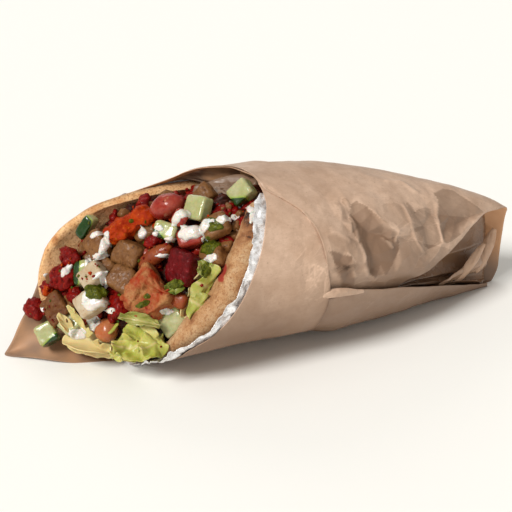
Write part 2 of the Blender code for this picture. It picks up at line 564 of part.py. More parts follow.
class Leaf:
    """A thin wavy leaf between two edges. It lies over its neighbours and ends where it runs in under one."""

    def __init__(self, row, index, pieces, placed):
        self.name, first, second, self.most = row
        rng = random.Random(500 + index)
        first, second = np.array(first, float), np.array(second, float)
        way = np.linspace(0, 1, len(first))
        length = np.linalg.norm(np.diff((first + second) / 2, axis=0), axis=1).sum()
        width = np.linalg.norm(first - second, axis=1).max()
        n = max(6, int(round(length / 2.3)))
        m = max(2, int(round(width / 2.3)))
        u = np.linspace(0, 1, n + 1)
        e0 = np.stack([curve(list(zip(way, first[:, k])), u) for k in range(3)], -1)
        e1 = np.stack([curve(list(zip(way, second[:, k])), u) for k in range(3)], -1)
        v = np.linspace(0, 1, m + 1)[None, :, None]
        grid = e0[:, None] * (1 - v) + e1[:, None] * v
        phase = rng.uniform(0, 6.28)
        ripple = 0.7 * np.sin(u[:, None] * length * 0.7 + phase) * (np.abs(v[..., 0] - 0.5) * 2) ** 1.5
        cup = 1.3 * min(1, width / 8) * ((2 * v[..., 0] - 1) ** 2 - 0.5)
        grid[..., 2] += ripple + cup
        self.grid = np.array([[heap_point(*q) for q in line] for line in grid])
        self.kept = np.ones((n + 1, m + 1), bool)
        self.keep_in()
        for sweep in range(6):
            if sweep:
                self.even(0.5 if sweep < 4 else 0.2)
            self.rise_over(pieces, placed)
        self.cells = self.whole_cells()
        self.flat = self.grid[self.kept]

    def rise_over(self, pieces, placed):
        swell = LEAF / 2 + 0.85
        for i, j in zip(*np.nonzero(self.kept)):
            p = self.grid[i, j]
            need = 0.0
            for piece in pieces:
                if np.linalg.norm(p - piece.centre) < 24:
                    span = span_along(piece, p, OUT, swell)
                    if span and span[0] < 0 < span[1]:
                        need = max(need, span[1])
            for other in placed:
                near = other.flat - p
                height = near @ OUT
                close = (np.linalg.norm(near - np.outer(height, OUT), axis=1) < 2.4) & (np.abs(height) < 2.6)
                if close.any():
                    need = max(need, height[close].max() + 2.6)
            if need > self.most:
                self.kept[i, j] = False
            else:
                self.grid[i, j] = p + OUT * need

    def even(self, share=0.5):
        g = self.grid
        soft = g.copy()
        soft[1:-1] = (soft[:-2] + 2 * soft[1:-1] + soft[2:]) / 4
        soft[:, 1:-1] = (soft[:, :-2] + 2 * soft[:, 1:-1] + soft[:, 2:]) / 4
        rise = (soft - g) @ OUT
        self.grid = g + (soft - g) * share + (np.maximum(rise, 0) * (1 - share))[..., None] * OUT

    def keep_in(self):
        points = self.grid.reshape(-1, 3)
        s, t, depth = frame_of(points)
        lack = least_depth(s, t) + 1.5 - depth
        self.kept &= (lack < 4).reshape(self.kept.shape)
        inward = HEAP * (0, 1, 1) - points * (0, 1, 1)
        inward /= np.linalg.norm(inward, axis=1)[:, None]
        points = points + inward * np.clip(lack, 0, 4)[:, None]
        points[:, 2] = np.maximum(points[:, 2], PAPER + LEAF / 2 + 0.8)
        self.grid = points.reshape(self.grid.shape)

    def whole_cells(self):
        """The largest patch of cells whose corners are all kept, with no two cells meeting at a corner only."""
        k = self.kept
        cells = k[:-1, :-1] & k[1:, :-1] & k[:-1, 1:] & k[1:, 1:]
        while True:
            best = set()
            left = set(zip(*np.nonzero(cells)))
            while left:
                seed = left.pop()
                patch, queue = {seed}, [seed]
                while queue:
                    i, j = queue.pop()
                    for q in ((i + 1, j), (i - 1, j), (i, j + 1), (i, j - 1)):
                        if q in left:
                            left.discard(q)
                            patch.add(q)
                            queue.append(q)
                if len(patch) > len(best):
                    best = patch
            bad = None
            for i, j in sorted(best):
                for di, dj in ((1, 1), (1, -1)):
                    q = (i + di, j + dj)
                    if q in best and (i + di, j) not in best and (i, j + dj) not in best:
                        bad = q
            cells[:] = False
            for q in best:
                cells[q] = True
            if bad is None:
                return sorted(best)
            cells[bad] = False

    def mesh(self, thick, grow=0.0):
        """The leaf as a closed solid, its rim moved outwards by grow."""
        g = self.grid
        normal = np.cross(np.gradient(g, axis=0), np.gradient(g, axis=1))
        normal /= np.linalg.norm(normal, axis=2)[..., None]
        rim = {}
        for i, j in self.cells:
            corners = ((i, j), (i + 1, j), (i + 1, j + 1), (i, j + 1))
            for p, q in zip(corners, corners[1:] + corners[:1]):
                if (q, p) in rim:
                    del rim[(q, p)]
                else:
                    rim[(p, q)] = np.cross(g[q] - g[p], normal[p])
        shift = {}
        for (p, q), outward in rim.items():
            outward = outward / np.linalg.norm(outward)
            shift[p] = shift.get(p, 0) + outward
            shift[q] = shift.get(q, 0) + outward
        bm = bmesh.new()
        top, low = {}, {}
        for i, j in self.cells:
            corners = ((i, j), (i + 1, j), (i + 1, j + 1), (i, j + 1))
            for q in corners:
                if q not in top:
                    p = g[q]
                    if grow and q in shift:
                        p = p + shift[q] / max(1.0, np.linalg.norm(shift[q])) * grow
                    top[q] = bm.verts.new(p + normal[q] * thick / 2)
                    low[q] = bm.verts.new(p - normal[q] * thick / 2)
            a, b, c, d = corners
            for tri in ((a, b, c), (a, c, d)):
                bm.faces.new([top[q] for q in tri])
                bm.faces.new([low[q] for q in reversed(tri)])
        for p, q in rim:
            bm.faces.new((top[p], low[p], low[q]))
            bm.faces.new((top[p], low[q], top[q]))
        return bm


def swollen(piece, gap):
    """Planes of a convex piece moved outwards: its cutter, a little larger on every side."""
    grow = 1 + 2 * gap / piece.size
    return hull(piece.verts * grow + piece.centre)


def build_bed(pieces, leaves):
    t = THETA
    rings = []
    for s, inset in ((164, 20), (154, 13.5), (142, 11)):
        rings.append(section(s, t, inset))
    rim_s = np.full(len(t), 60.0)
    for _ in range(12):
        p = section(rim_s, t, inside_inset(rim_s, t) + BED_ROOM)
        rel = p - HEAP
        drop = heap_drop(rel @ ALONG, rel @ ACROSS)
        rim_s = HEAP[0] + (-BED_DEPTH - drop - rel[:, 1] * OUT[1] - rel[:, 2] * OUT[2]) / OUT[0]
    edge = around(BREAD_EDGE, t)
    rim_s = np.clip(np.maximum(rim_s, edge + 1.5), 20, 118)
    for f in (1.0, 0.7, 0.4, 0.2, 0.07, 0.0):
        s = rim_s + (122 - rim_s) * f
        rings.append(section(s, t, inside_inset(s, t) + BED_ROOM))
    rim = rings[-1]
    rel = rim - HEAP
    a0, b0 = rel @ ALONG, rel @ ACROSS
    rng = random.Random(7)
    for f in (0.86, 0.7, 0.52, 0.34, 0.16):
        a, b = a0 * f, b0 * f
        wave = np.array([rng.uniform(-1.2, 1.2) for _ in t])
        goal = HEAP + np.outer(a, ALONG) + np.outer(b, ACROSS)
        goal = goal + np.outer(-BED_DEPTH - heap_drop(a, b) + wave, OUT)
        along = HEAP + (rim - HEAP) * f
        mix = min(1.0, (1 - f) / 0.3)
        ring = along * (1 - mix) + goal * mix
        ring[:, 2] = np.maximum(ring[:, 2], 9.0)
        rings.append(ring)
    bm = loft(rings, ((168, 0, 38), HEAP - BED_DEPTH * OUT))
    bed = add("filling_bed", bm, "bed", 60)
    helpers = bpy.data.collections.new("cutters")
    bpy.context.scene.collection.children.link(helpers)
    for piece in pieces:
        cutter = add("cut_" + piece.name, swollen(piece, 0.4), "bed")
        bpy.context.scene.collection.objects.unlink(cutter)
        helpers.objects.link(cutter)
    for leaf in leaves:
        cutter = add("cut_" + leaf.name, leaf.mesh(LEAF + 1.0, 0.7), "bed")
        bpy.context.scene.collection.objects.unlink(cutter)
        helpers.objects.link(cutter)
    for cutter in list(helpers.objects):
        cut = bed.modifiers.new(cutter.name, "BOOLEAN")
        cut.operation = "DIFFERENCE"
        cut.solver = "MANIFOLD"
        cut.object = cutter
    bpy.context.view_layer.update()
    graph = bpy.context.evaluated_depsgraph_get()
    done = bpy.data.meshes.new_from_object(bed.evaluated_get(graph))
    bed.modifiers.clear()
    bed.data = done
    for cutter in list(helpers.objects):
        bpy.data.objects.remove(cutter)
    bpy.data.collections.remove(helpers)
    keep_largest(bed)
    return bed


def keep_largest(obj):
    """Drops crumbs that a cut has freed from the bed."""
    bm = bmesh.new()
    bm.from_mesh(obj.data)
    left = set(bm.verts)
    parts = []
    while left:
        seed = left.pop()
        part, queue = {seed}, [seed]
        while queue:
            v = queue.pop()
            for e in v.link_edges:
                w = e.other_vert(v)
                if w in left:
                    left.discard(w)
                    part.add(w)
                    queue.append(w)
        parts.append(part)
    parts.sort(key=len, reverse=True)
    for part in parts[1:]:
        bmesh.ops.delete(bm, geom=list(part), context="VERTS")
    bm.to_mesh(obj.data)
    bm.free()


def main():
    for obj in list(bpy.data.objects):
        bpy.data.objects.remove(obj)
    bpy.context.scene.unit_settings.system = "METRIC"
    pieces = [Piece(row, i) for i, row in enumerate(PIECES)]
    settle(pieces)
    leaves = []
    for i, row in enumerate(LEAVES):
        leaves.append(Leaf(row, i, pieces, leaves))
    build_paper()
    build_foil()
    build_bread()
    build_bed(pieces, leaves)
    for piece in pieces:
        add(piece.name, hull(piece.verts + piece.centre), piece.kind, 35)
    for leaf in leaves:
        add(leaf.name, leaf.mesh(LEAF), "lettuce")


main()
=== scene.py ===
"""Looks of the gyro wrap: crumpled brown paper, crinkled foil, toasted flatbread and a moist chopped filling.

Everything is worked out in millimetres: s runs along the roll from the paper's lowest front corner, y to the
back and z up. Ring angles run from 0 at the bottom over 90 at the front (-Y), 180 on top and 270 at the back.
"""

import math
import random

import bmesh
import bpy
import numpy as np
from mathutils import Matrix, Vector, geometry
from mathutils.bvhtree import BVHTree


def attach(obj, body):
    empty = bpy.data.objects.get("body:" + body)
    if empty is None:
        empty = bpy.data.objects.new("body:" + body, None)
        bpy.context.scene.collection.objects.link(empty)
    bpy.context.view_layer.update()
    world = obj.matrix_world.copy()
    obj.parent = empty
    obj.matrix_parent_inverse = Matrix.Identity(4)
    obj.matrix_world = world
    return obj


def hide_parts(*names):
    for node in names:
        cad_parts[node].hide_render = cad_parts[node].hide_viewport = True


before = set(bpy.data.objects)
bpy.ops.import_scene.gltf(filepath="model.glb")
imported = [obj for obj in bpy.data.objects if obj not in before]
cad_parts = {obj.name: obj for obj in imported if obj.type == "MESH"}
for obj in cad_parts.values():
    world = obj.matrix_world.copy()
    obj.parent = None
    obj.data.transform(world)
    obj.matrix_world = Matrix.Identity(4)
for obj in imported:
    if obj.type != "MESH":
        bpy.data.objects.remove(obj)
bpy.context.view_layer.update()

MM = 0.001
HALF = 130.0  # half of the overall length, so that the roll is centred on the origin
PAPER = 1.0  # thickness of the paper's solid
FOIL = 0.6  # thickness of the foil's solid
GAP = 0.35  # air between two layers
SLACK = 2.5  # how far foil and bread hang away from the paper deep in the roll
SINK = 1.2  # how far the round form would go under the ground, which leaves a flat spot
STEP = 0.8  # height of the lapped seam
SHEET = 0.3  # real thickness of the paper that shows
LEAF = 0.55  # thickness of the small lettuce leaves
DEGREE = 0.75  # millimetres of paper to one degree of ring angle

# the forms of the rolled paper, bread and foil, as in the solids: height, half width, sideways shift along s
RISE = (
    (0, 46.5), (90, 46.5), (111, 44.6), (155, 41), (185, 37), (203, 34), (240, 27.4), (252, 24.1),
    (260, 21.5),
)
REACH = ((0, 47), (130, 47), (155, 44), (185, 38), (205, 30), (230, 19), (260, 3))
SWAY = ((0, 0), (180, 0), (260, -8))
# share of the height and width by ring angle, and where paper, bread and foil begin: ring angle, s
KEEL = (
    (0, 1), (6, 0.972), (12, 0.938), (20, 0.912), (28, 0.9), (40, 0.912), (50, 0.94), (62, 0.968),
    (76, 0.99), (90, 1), (180, 1), (270, 1), (345, 1),
)
PAPER_EDGE = (
    (0, 54), (16, 58), (56, 63), (69, 74), (90, 86.4), (115, 98), (132, 104.2), (148, 109.5),
    (160, 111), (181, 110.5), (197, 109), (205, 105.5), (211, 100), (219, 94), (225, 90.6), (229, 86),
    (233, 79), (236, 72), (239, 65), (243, 55), (251, 45), (260, 36), (270, 28.5), (290, 22),
    (305, 13.5), (315, 6), (325, 0), (345, 25),
)
BREAD_EDGE = (
    (0, 48), (20, 52), (45, 57), (60, 60.5), (75, 67), (90, 75.5), (110, 84.5), (130, 94), (140, 98),
    (148, 102), (153, 108), (158, 114), (165, 117), (225, 117), (231, 113), (233, 95),
    (235, 74), (240, 54), (248, 42), (257, 33), (270, 25.5), (290, 20.5), (305, 20), (320, 24),
    (335, 32), (350, 41),
)
FOIL_EDGE = (
    (0, 49), (20, 50), (45, 52.4), (56, 56), (69, 68.6), (90, 82), (115, 93.6), (132, 99),
    (145, 103), (153, 108), (160, 118), (175, 124), (225, 124), (231, 122), (235, 84),
    (240, 64), (248, 52), (257, 43), (270, 36), (290, 31), (305, 29), (320, 30), (335, 37), (350, 45),
)
# the seam where the lower sleeve ends, in front and behind the same for both tables that follow
SEAM_FRONT = (
    (0, 138), (20, 134), (40, 131), (60, 130), (82, 131), (102, 131), (117, 130), (126, 129), (138, 125),
)
SEAM_BACK = ((260, 125), (300, 135), (345, 138))
SEAM = SEAM_FRONT + ((148, 118.5), (157, 114), (165, 110), (180, 108), (200, 108), (230, 115)) + SEAM_BACK
# where the upper sheet starts: along the seam, and along the mouth's edge on top
START = SEAM_FRONT + (
    (148, 118.2), (157, 112.4), (165, 111.4), (181, 110.9), (197, 109.4), (205, 106.5), (212, 103),
    (222, 105), (230, 113),
) + SEAM_BACK
# thickness of the bread's rolled lip by ring angle, and of its wall behind the lip
LIP = (
    (0, 5.5), (30, 6), (50, 7), (70, 9.5), (90, 12), (120, 12), (140, 10), (152, 7), (160, 4.5),
    (230, 4.5), (330, 5),
)
BREAD_WALL = 5.0

# the upper sheet winds once round the roll: unrolled ring angle against where it ends
SHEET_END = (
    (-302, 166), (-290, 170), (-283, 178), (-277, 187), (-268, 201), (-252, 218), (-228, 237),
    (-210, 252), (-188, 258), (-160, 260), (-60, 259), (-15, 254), (0, 250), (20, 249), (36, 247), (90, 247),
)
# the free edge of that sheet, folded up over the front: s, ring angle
FLAP = ((110, 84), (131, 82), (145, 84), (162, 80), (178, 77), (196, 70), (218, 58), (246, 36), (252, 31))
TUCK = 14  # degrees that the sheet runs on under its own free edge

# the heap of food in the mouth: its middle, the way its face looks, and two directions in that face
HEAP = np.array((55.0, 0.0, 46.0))
OUT = np.array((-0.6816, -0.4812, 0.5513))
OUT /= np.linalg.norm(OUT)
ALONG = np.array((0.724, -0.351, 0.591))
ALONG -= OUT * (ALONG @ OUT)
ALONG /= np.linalg.norm(ALONG)
ACROSS = np.cross(OUT, ALONG)

# the camera
AZIMUTH, ELEVATION = math.radians(-27), math.radians(25)
TARGET = np.array((117.3, 0.0, 41.4))
DISTANCE = 650.0
PICTURE = 512  # pixels across the picture
FOCAL = 1354.2  # pixels
BACK = np.array((
    math.sin(AZIMUTH) * math.cos(ELEVATION), -math.cos(AZIMUTH) * math.cos(ELEVATION), math.sin(ELEVATION),
))
RIGHT = np.array((math.cos(AZIMUTH), math.sin(AZIMUTH), 0.0))
UP = np.cross(BACK, RIGHT)
EYE = TARGET + DISTANCE * BACK


# Numbers

def curve(table, x, period=None):
    """Smooth interpolation through a table that never overshoots it."""
    t = np.array(table, float)
    if period:
        t = np.vstack([t[-3:] - (period, 0), t, t[:3] + (period, 0)])
    px, py = t[:, 0], t[:, 1]
    h = np.diff(px)
    d = np.diff(py) / h
    m = np.concatenate([[d[0]], np.zeros(len(h) - 1), [d[-1]]])
    for i in range(1, len(h)):
        if d[i - 1] * d[i] > 0:
            m[i] = 2 * d[i - 1] * d[i] / (d[i - 1] + d[i])
    x = np.clip(np.asarray(x, float), px[0], px[-1])
    k = np.clip(np.searchsorted(px, x, side="right") - 1, 0, len(h) - 1)
    u = (x - px[k]) / h[k]
    a = py[k] * (1 + 2 * u) * (1 - u) ** 2 + py[k + 1] * u * u * (3 - 2 * u)
    return a + h[k] * (m[k] * u * (1 - u) ** 2 - m[k + 1] * u * u * (1 - u))


def around(table, t):
    """A table read by ring angle, which closes on itself."""
    return curve(table, np.mod(t, 360), 360)


def smooth(lo, hi, x):
    """A soft step from 0 at lo to 1 at hi."""
    u = np.clip((np.asarray(x, float) - lo) / (hi - lo), 0, 1)
    return u * u * (3 - 2 * u)


def between(rise, risen, fall, fallen, x):
    """A soft step up to 1 and a later one down to 0 again."""
    return smooth(rise, risen, x) * (1 - smooth(fall, fallen, x))


def bell(x, wide):
    """1 where x is 0, falling to a third at the given width."""
    return np.exp(-(x / wide) ** 2)


def unit(v):
    """Vectors with a length of 1."""
    return v / np.maximum(np.linalg.norm(v, axis=-1, keepdims=True), 1e-9)


def scatter(i, j, k, seed):
    """A repeatable number from 0 to 1 for each lattice point."""
    n = (i * 374761393 + j * 668265263 + k * 1440662683 + seed * 1274126177) & 0xFFFFFFFF
    n = ((n ^ (n >> 13)) * 1274126177) & 0xFFFFFFFF
    n = ((n ^ (n >> 16)) * 668265263) & 0xFFFFFFFF
    return ((n ^ (n >> 15)) & 0xFFFFFF) / 0xFFFFFF


def noise(p, size, seed=0):
    """Smooth noise from -1 to 1 with features of about the given size."""
    q = np.asarray(p, float) / size
    cell = np.floor(q).astype(np.int64)
    f = q - cell
    f = f * f * f * (f * (f * 6 - 15) + 10)
    total = 0.0
    for dx in (0, 1):
        for dy in (0, 1):
            for dz in (0, 1):
                w = np.abs(1 - dx - f[..., 0]) * np.abs(1 - dy - f[..., 1]) * np.abs(1 - dz - f[..., 2])
                total = total + w * scatter(cell[..., 0] + dx, cell[..., 1] + dy, cell[..., 2] + dz, seed)
    return total * 2 - 1


def layers(p, size, count, seed=0, fade=0.5):
    """Several noises, each half the size of the last."""
    total, weight = 0.0, 0.0
    for i in range(count):
        total = total + noise(p, size / 2 ** i, seed + i) * fade ** i
        weight += fade ** i
    return total / weight


def drift(p, size, count, seed):
    """A smooth random offset for each point, up to 1 along each axis."""
    return np.stack([layers(p, size, count, seed + k) for k in range(3)], -1)


def spot_distance(p, size, seed=0):
    """Distance to the nearest of scattered points, in cell sizes."""
    q = np.asarray(p, float) / size
    cell = np.floor(q).astype(np.int64)
    best = np.full(q.shape[:-1], 9.0)
    for dx in (-1, 0, 1):
        for dy in (-1, 0, 1):
            for dz in (-1, 0, 1):
                near = cell + (dx, dy, dz)
                lattice = np.moveaxis(near, -1, 0)
                spot = near + np.stack([scatter(*lattice, seed + k) for k in range(3)], -1)
                best = np.minimum(best, np.linalg.norm(spot - q, axis=-1))
    return best


# The roll's sections

def keel(s, t):
    """Share of the roll's height and width at a ring angle: the mouth's front is a little flatter."""
    return 1 - (1 - around(KEEL, t)) * (1 - smooth(128, 150, s))


def section(s, t, inset):
    """Points at distance s and ring angle t, a given depth under the paper's outer face."""
    s, t, inset = np.broadcast_arrays(np.asarray(s, float), np.asarray(t, float), np.asarray(inset, float))
    t = np.mod(t, 360)
    a = np.radians(t)
    rise = curve(RISE, s)
    flat = between(308, 325, 335, 355, t) * (1 - smooth(0, 22, s))  # the corner that lies on the ground
    share = keel(s, t)
    y = curve(SWAY, s) - (curve(REACH, s) * share - inset) * np.sin(a) + 7 * flat
    z = (rise - SINK - rise * share * np.cos(a)) * (1 - flat)
    z = np.maximum(z, 0) + inset * (np.cos(a) + (1 - np.cos(a)) * flat)
    return np.stack([s, y, np.maximum(z, np.maximum(inset, 0))], -1)


def slack(s):
    """How far foil and bread hang away from the paper."""
    return SLACK * np.clip((np.asarray(s, float) - 122) / 20, 0, 1)


def lip_step(s, t):
    """The lapped seam: over the front the lower sleeve lies on top low down, the upper sheet higher up."""
    t = np.mod(t, 360)
    side = s - around(SEAM, t)
    low = between(0, 20, 88, 100, t)
    high = between(108, 120, 165, 178, t)
    return STEP * np.where(side < 0, low * (1 - smooth(6, 34, -side)), high * (1 - smooth(4, 26, side)))


def ray(px, py):
    """The direction from the camera through a point of the picture."""
    half = PICTURE / 2
    return unit(-BACK * FOCAL + RIGHT * (px - half) - UP * (py - half))


def seen(point):
    """Column and row of the picture where a point shows."""
    way = point - EYE
    depth = -(way @ BACK)
    return PICTURE / 2 + FOCAL * (way @ RIGHT) / depth, PICTURE / 2 - FOCAL * (way @ UP) / depth


# Meshes

def new_mesh(name, points, faces, marks=None):
    """A mesh of points in millimetres along the roll and of faces. Marks are numbers by point."""
    points = (np.asarray(points, float).reshape(-1, 3) - (HALF, 0, 0)) * MM
    faces = np.asarray(faces, np.int32)
    mesh = bpy.data.meshes.new(name)
    mesh.vertices.add(len(points))
    mesh.vertices.foreach_set("co", points.astype(np.float32).ravel())
    mesh.loops.add(faces.size)
    mesh.loops.foreach_set("vertex_index", faces.ravel())
    mesh.polygons.add(len(faces))
    mesh.polygons.foreach_set("loop_start", np.arange(0, faces.size, faces.shape[1], dtype=np.int32))
    for key, values in (marks or {}).items():
        attribute = mesh.attributes.new(key, "FLOAT", "POINT")
        attribute.data.foreach_set("value", np.asarray(values, np.float32).ravel())
    mesh.update(calc_edges=True)
    mesh.validate()
    mesh.shade_smooth()
    return mesh


def piece(mesh, material, nodes=()):
    """An object that rides on the roll and may stand for nodes of the frame."""
    mesh.materials.append(material)
    made = bpy.data.objects.new(mesh.name, mesh)
    bpy.context.scene.collection.objects.link(made)
    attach(made, "root")
    if nodes:
        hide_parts(*nodes)
    return made


def grid_faces(rows, columns, wrap_rows=False, wrap_columns=False):
    """Four-sided faces between the points of a grid."""
    i = np.arange(rows if wrap_rows else rows - 1)[:, None]
    j = np.arange(columns if wrap_columns else columns - 1)[None, :]
    i2, j2 = (i + 1) % rows, (j + 1) % columns
    quads = np.stack(np.broadcast_arrays(
        i * columns + j, i2 * columns + j, i2 * columns + j2, i * columns + j2), -1)
    return quads.reshape(-1, 4)


def grid_normals(grid, wrap=False):
    """Directions that point out of a grid of points."""
    along = np.gradient(grid, axis=0)
    if wrap:
        across = np.roll(grid, -1, 1) - np.roll(grid, 1, 1)
    else:
        across = np.gradient(grid, axis=1)
    return unit(np.cross(along, across))


def shell(grid, thick, wrap=False):
    """Points and faces of a closed thin solid. The grid is its outer face, along s, then round the roll."""
    rows, columns = grid.shape[:2]
    inner = grid - grid_normals(grid, wrap) * thick
    count = rows * columns
    outside = grid_faces(rows, columns, wrap_columns=wrap)
    first = np.arange(columns if wrap else columns - 1)
    next_one = (first + 1) % columns
    last = (rows - 1) * columns
    edges = [(first, next_one), (next_one + last, first + last)]
    if not wrap:
        side = np.arange(rows - 1) * columns
        edges += [(side + columns, side), (side + columns - 1, side + 2 * columns - 1)]
    rims = [np.stack([a, b, b + count, a + count], -1) for a, b in edges]
    points = np.concatenate([grid.reshape(-1, 3), inner.reshape(-1, 3)])
    return points, np.concatenate([outside, outside[:, ::-1] + count] + rims)


def both(outer, inner=None):
    """A mark on a thin sheet: for the points of its outer face, then for those of its inner face."""
    return np.concatenate([outer.ravel(), (outer if inner is None else inner).ravel()])


def joined(parts):
    """Points and faces of several meshes as one."""
    starts = np.cumsum([0] + [len(points) for points, _ in parts])
    faces = [faces + start for (_, faces), start in zip(parts, starts)]
    return np.concatenate([points for points, _ in parts]), np.concatenate(faces)


def evaluated(obj):
    """Points in millimetres along the roll and triangles of an object with its modifiers."""
    graph = bpy.context.evaluated_depsgraph_get()
    graph.update()
    final = obj.evaluated_get(graph)
    mesh = final.to_mesh()
    mesh.calc_loop_triangles()
    points = np.empty(len(mesh.vertices) * 3, np.float32)
    mesh.vertices.foreach_get("co", points)
    faces = np.empty(len(mesh.loop_triangles) * 3, np.int32)
    mesh.loop_triangles.foreach_get("vertices", faces)
    final.to_mesh_clear()
    points = points.reshape(-1, 3).astype(float) / MM + (HALF, 0, 0)
    return points, faces.reshape(-1, 3)


def point_normals(points, faces):
    """Directions that point out of a mesh of triangles, one for each point."""
    a, b, c = (points[faces[:, k]] for k in range(3))
    face = np.cross(b - a, c - a)
    total = np.zeros_like(points)
    for k in range(3):
        np.add.at(total, faces[:, k], face)
    return unit(total)


def relax(points, faces, steps, share=0.5):
    """Smooths a mesh by moving each point towards the mean of its neighbours."""
    ends = np.concatenate([faces[:, [0, 1]], faces[:, [1, 2]], faces[:, [2, 0]]])
    ends = np.concatenate([ends, ends[:, ::-1]])
    count = np.bincount(ends[:, 0], minlength=len(points))[:, None]
    for _ in range(steps):
        total = np.zeros_like(points)
        np.add.at(total, ends[:, 0], points[ends[:, 1]])
        points = points + (total / np.maximum(count, 1) - points) * share
    return points


def cad_copy(node):
    """A working copy of a frame node with its split corners joined again."""
    bm = bmesh.new()
    bm.from_mesh(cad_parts[node].data)
    bmesh.ops.remove_doubles(bm, verts=bm.verts, dist=0.00001)
    mesh = bpy.data.meshes.new("copy")
    bm.to_mesh(mesh)
    bm.free()
    made = bpy.data.objects.new("copy", mesh)
    bpy.context.scene.collection.objects.link(made)
    return made


def refined(node, voxel=None, levels=0):
    """The node's form with many small faces: by voxels of the given size, or by subdividing it smoothly."""
    copy = cad_copy(node)
    if voxel:
        change = copy.modifiers.new("voxels", "REMESH")
        change.mode = "VOXEL"
        change.voxel_size = voxel * MM
    if levels:
        change = copy.modifiers.new("rounds", "SUBSURF")
        change.levels = change.render_levels = levels
    points, faces = evaluated(copy)
    bpy.data.objects.remove(copy)
    return points, faces


# Creases of paper and foil

class Folds:
    """A sheet's creases: heights at scattered points, flat between each three neighbours."""

    def __init__(self, rows):
        rows = np.array(rows, float)
        flat = [Vector((s, t * DEGREE)) for s, t, _ in rows]
        found = geometry.delaunay_2d_cdt(flat, [], [], 0, 1e-4)
        self.points = np.array([v[:] for v in found[0]])
        self.faces = [list(f) for f in found[2] if len(f) == 3]
        self.heights = np.array([rows[origin[0], 2] if origin else 0 for origin in found[3]])
        slopes, beside = [], {}
        for index, corners in enumerate(self.faces):
            (ax, ay), (bx, by), (cx, cy) = self.points[corners]
            a, b, c = self.heights[corners]
            whole = (bx - ax) * (cy - ay) - (cx - ax) * (by - ay)
            whole = whole if abs(whole) > 1e-9 else 1e9
            slopes.append((((b - a) * (cy - ay) - (c - a) * (by - ay)) / whole,
                           ((c - a) * (bx - ax) - (b - a) * (cx - ax)) / whole))
            for k in range(3):
                beside.setdefault(frozenset((corners[k - 2], corners[k - 1])), []).append(index)
        self.sharp = []
        for corners in self.faces:
            row = []
            for k in range(3):
                near = beside[frozenset((corners[k - 2], corners[k - 1]))]
                row.append(math.dist(slopes[near[0]], slopes[near[-1]]))
            self.sharp.append(row)

    def spread(self, s, t, wide=0.45):
        """Height, sharpness of the nearest crease's line, and the facet's mean height, a little uneven."""
        s, t = np.broadcast_arrays(np.asarray(s, float), np.asarray(t, float))
        x, y = s.ravel(), t.ravel() * DEGREE
        out = np.zeros((3,) + x.shape)
        order = np.argsort(x)
        ordered = x[order]
        for index, corners in enumerate(self.faces):
            (ax, ay), (bx, by), (cx, cy) = self.points[corners]
            lo, hi = np.searchsorted(ordered, (min(ax, bx, cx), max(ax, bx, cx)))
            near = order[lo:hi]
            near = near[(y[near] >= min(ay, by, cy)) & (y[near] <= max(ay, by, cy))]
            whole = (bx - ax) * (cy - ay) - (cx - ax) * (by - ay)
            if not len(near) or abs(whole) < 1e-9:
                continue
            v = ((x[near] - ax) * (cy - ay) - (cx - ax) * (y[near] - ay)) / whole
            w = ((bx - ax) * (y[near] - ay) - (x[near] - ax) * (by - ay)) / whole
            inside = (v >= -1e-6) & (w >= -1e-6) & (v + w <= 1 + 1e-6)
            v, w = v[inside], w[inside]
            ha, hb, hc = self.heights[corners]
            spots = near[inside]
            out[0, spots] = ha + v * (hb - ha) + w * (hc - ha)
            sides = (math.hypot(cx - bx, cy - by), math.hypot(ax - cx, ay - cy), math.hypot(bx - ax, by - ay))
            for share, side, sharp in zip((1 - v - w, v, w), sides, self.sharp[index]):
                line = sharp * bell(share * abs(whole) / side, wide)
                out[1, spots] = np.maximum(out[1, spots], line)
            out[2, spots] = (ha + hb + hc) / 3 + 0.5 * (scatter(index, 3, 5, 77) - 0.5)
        return out.reshape((3,) + s.shape)


def random_folds(s_range, t_range, size, seed):
    """Creases at the corners of an uneven net with cells of about the given size."""
    rng = random.Random(seed)
    rows = []
    s = s_range[0] - size
    odd = 0
    while s < s_range[1] + size:
        t = t_range[0] - size / DEGREE + odd * size / DEGREE / 2
        while t < t_range[1] + size / DEGREE:
            rows.append((s + rng.uniform(-0.42, 0.42) * size, t + rng.uniform(-0.42, 0.42) * size / DEGREE,
                         rng.gauss(0, 1)))
            t += size / DEGREE
        s += size * 0.87
        odd = 1 - odd
    return Folds(rows)


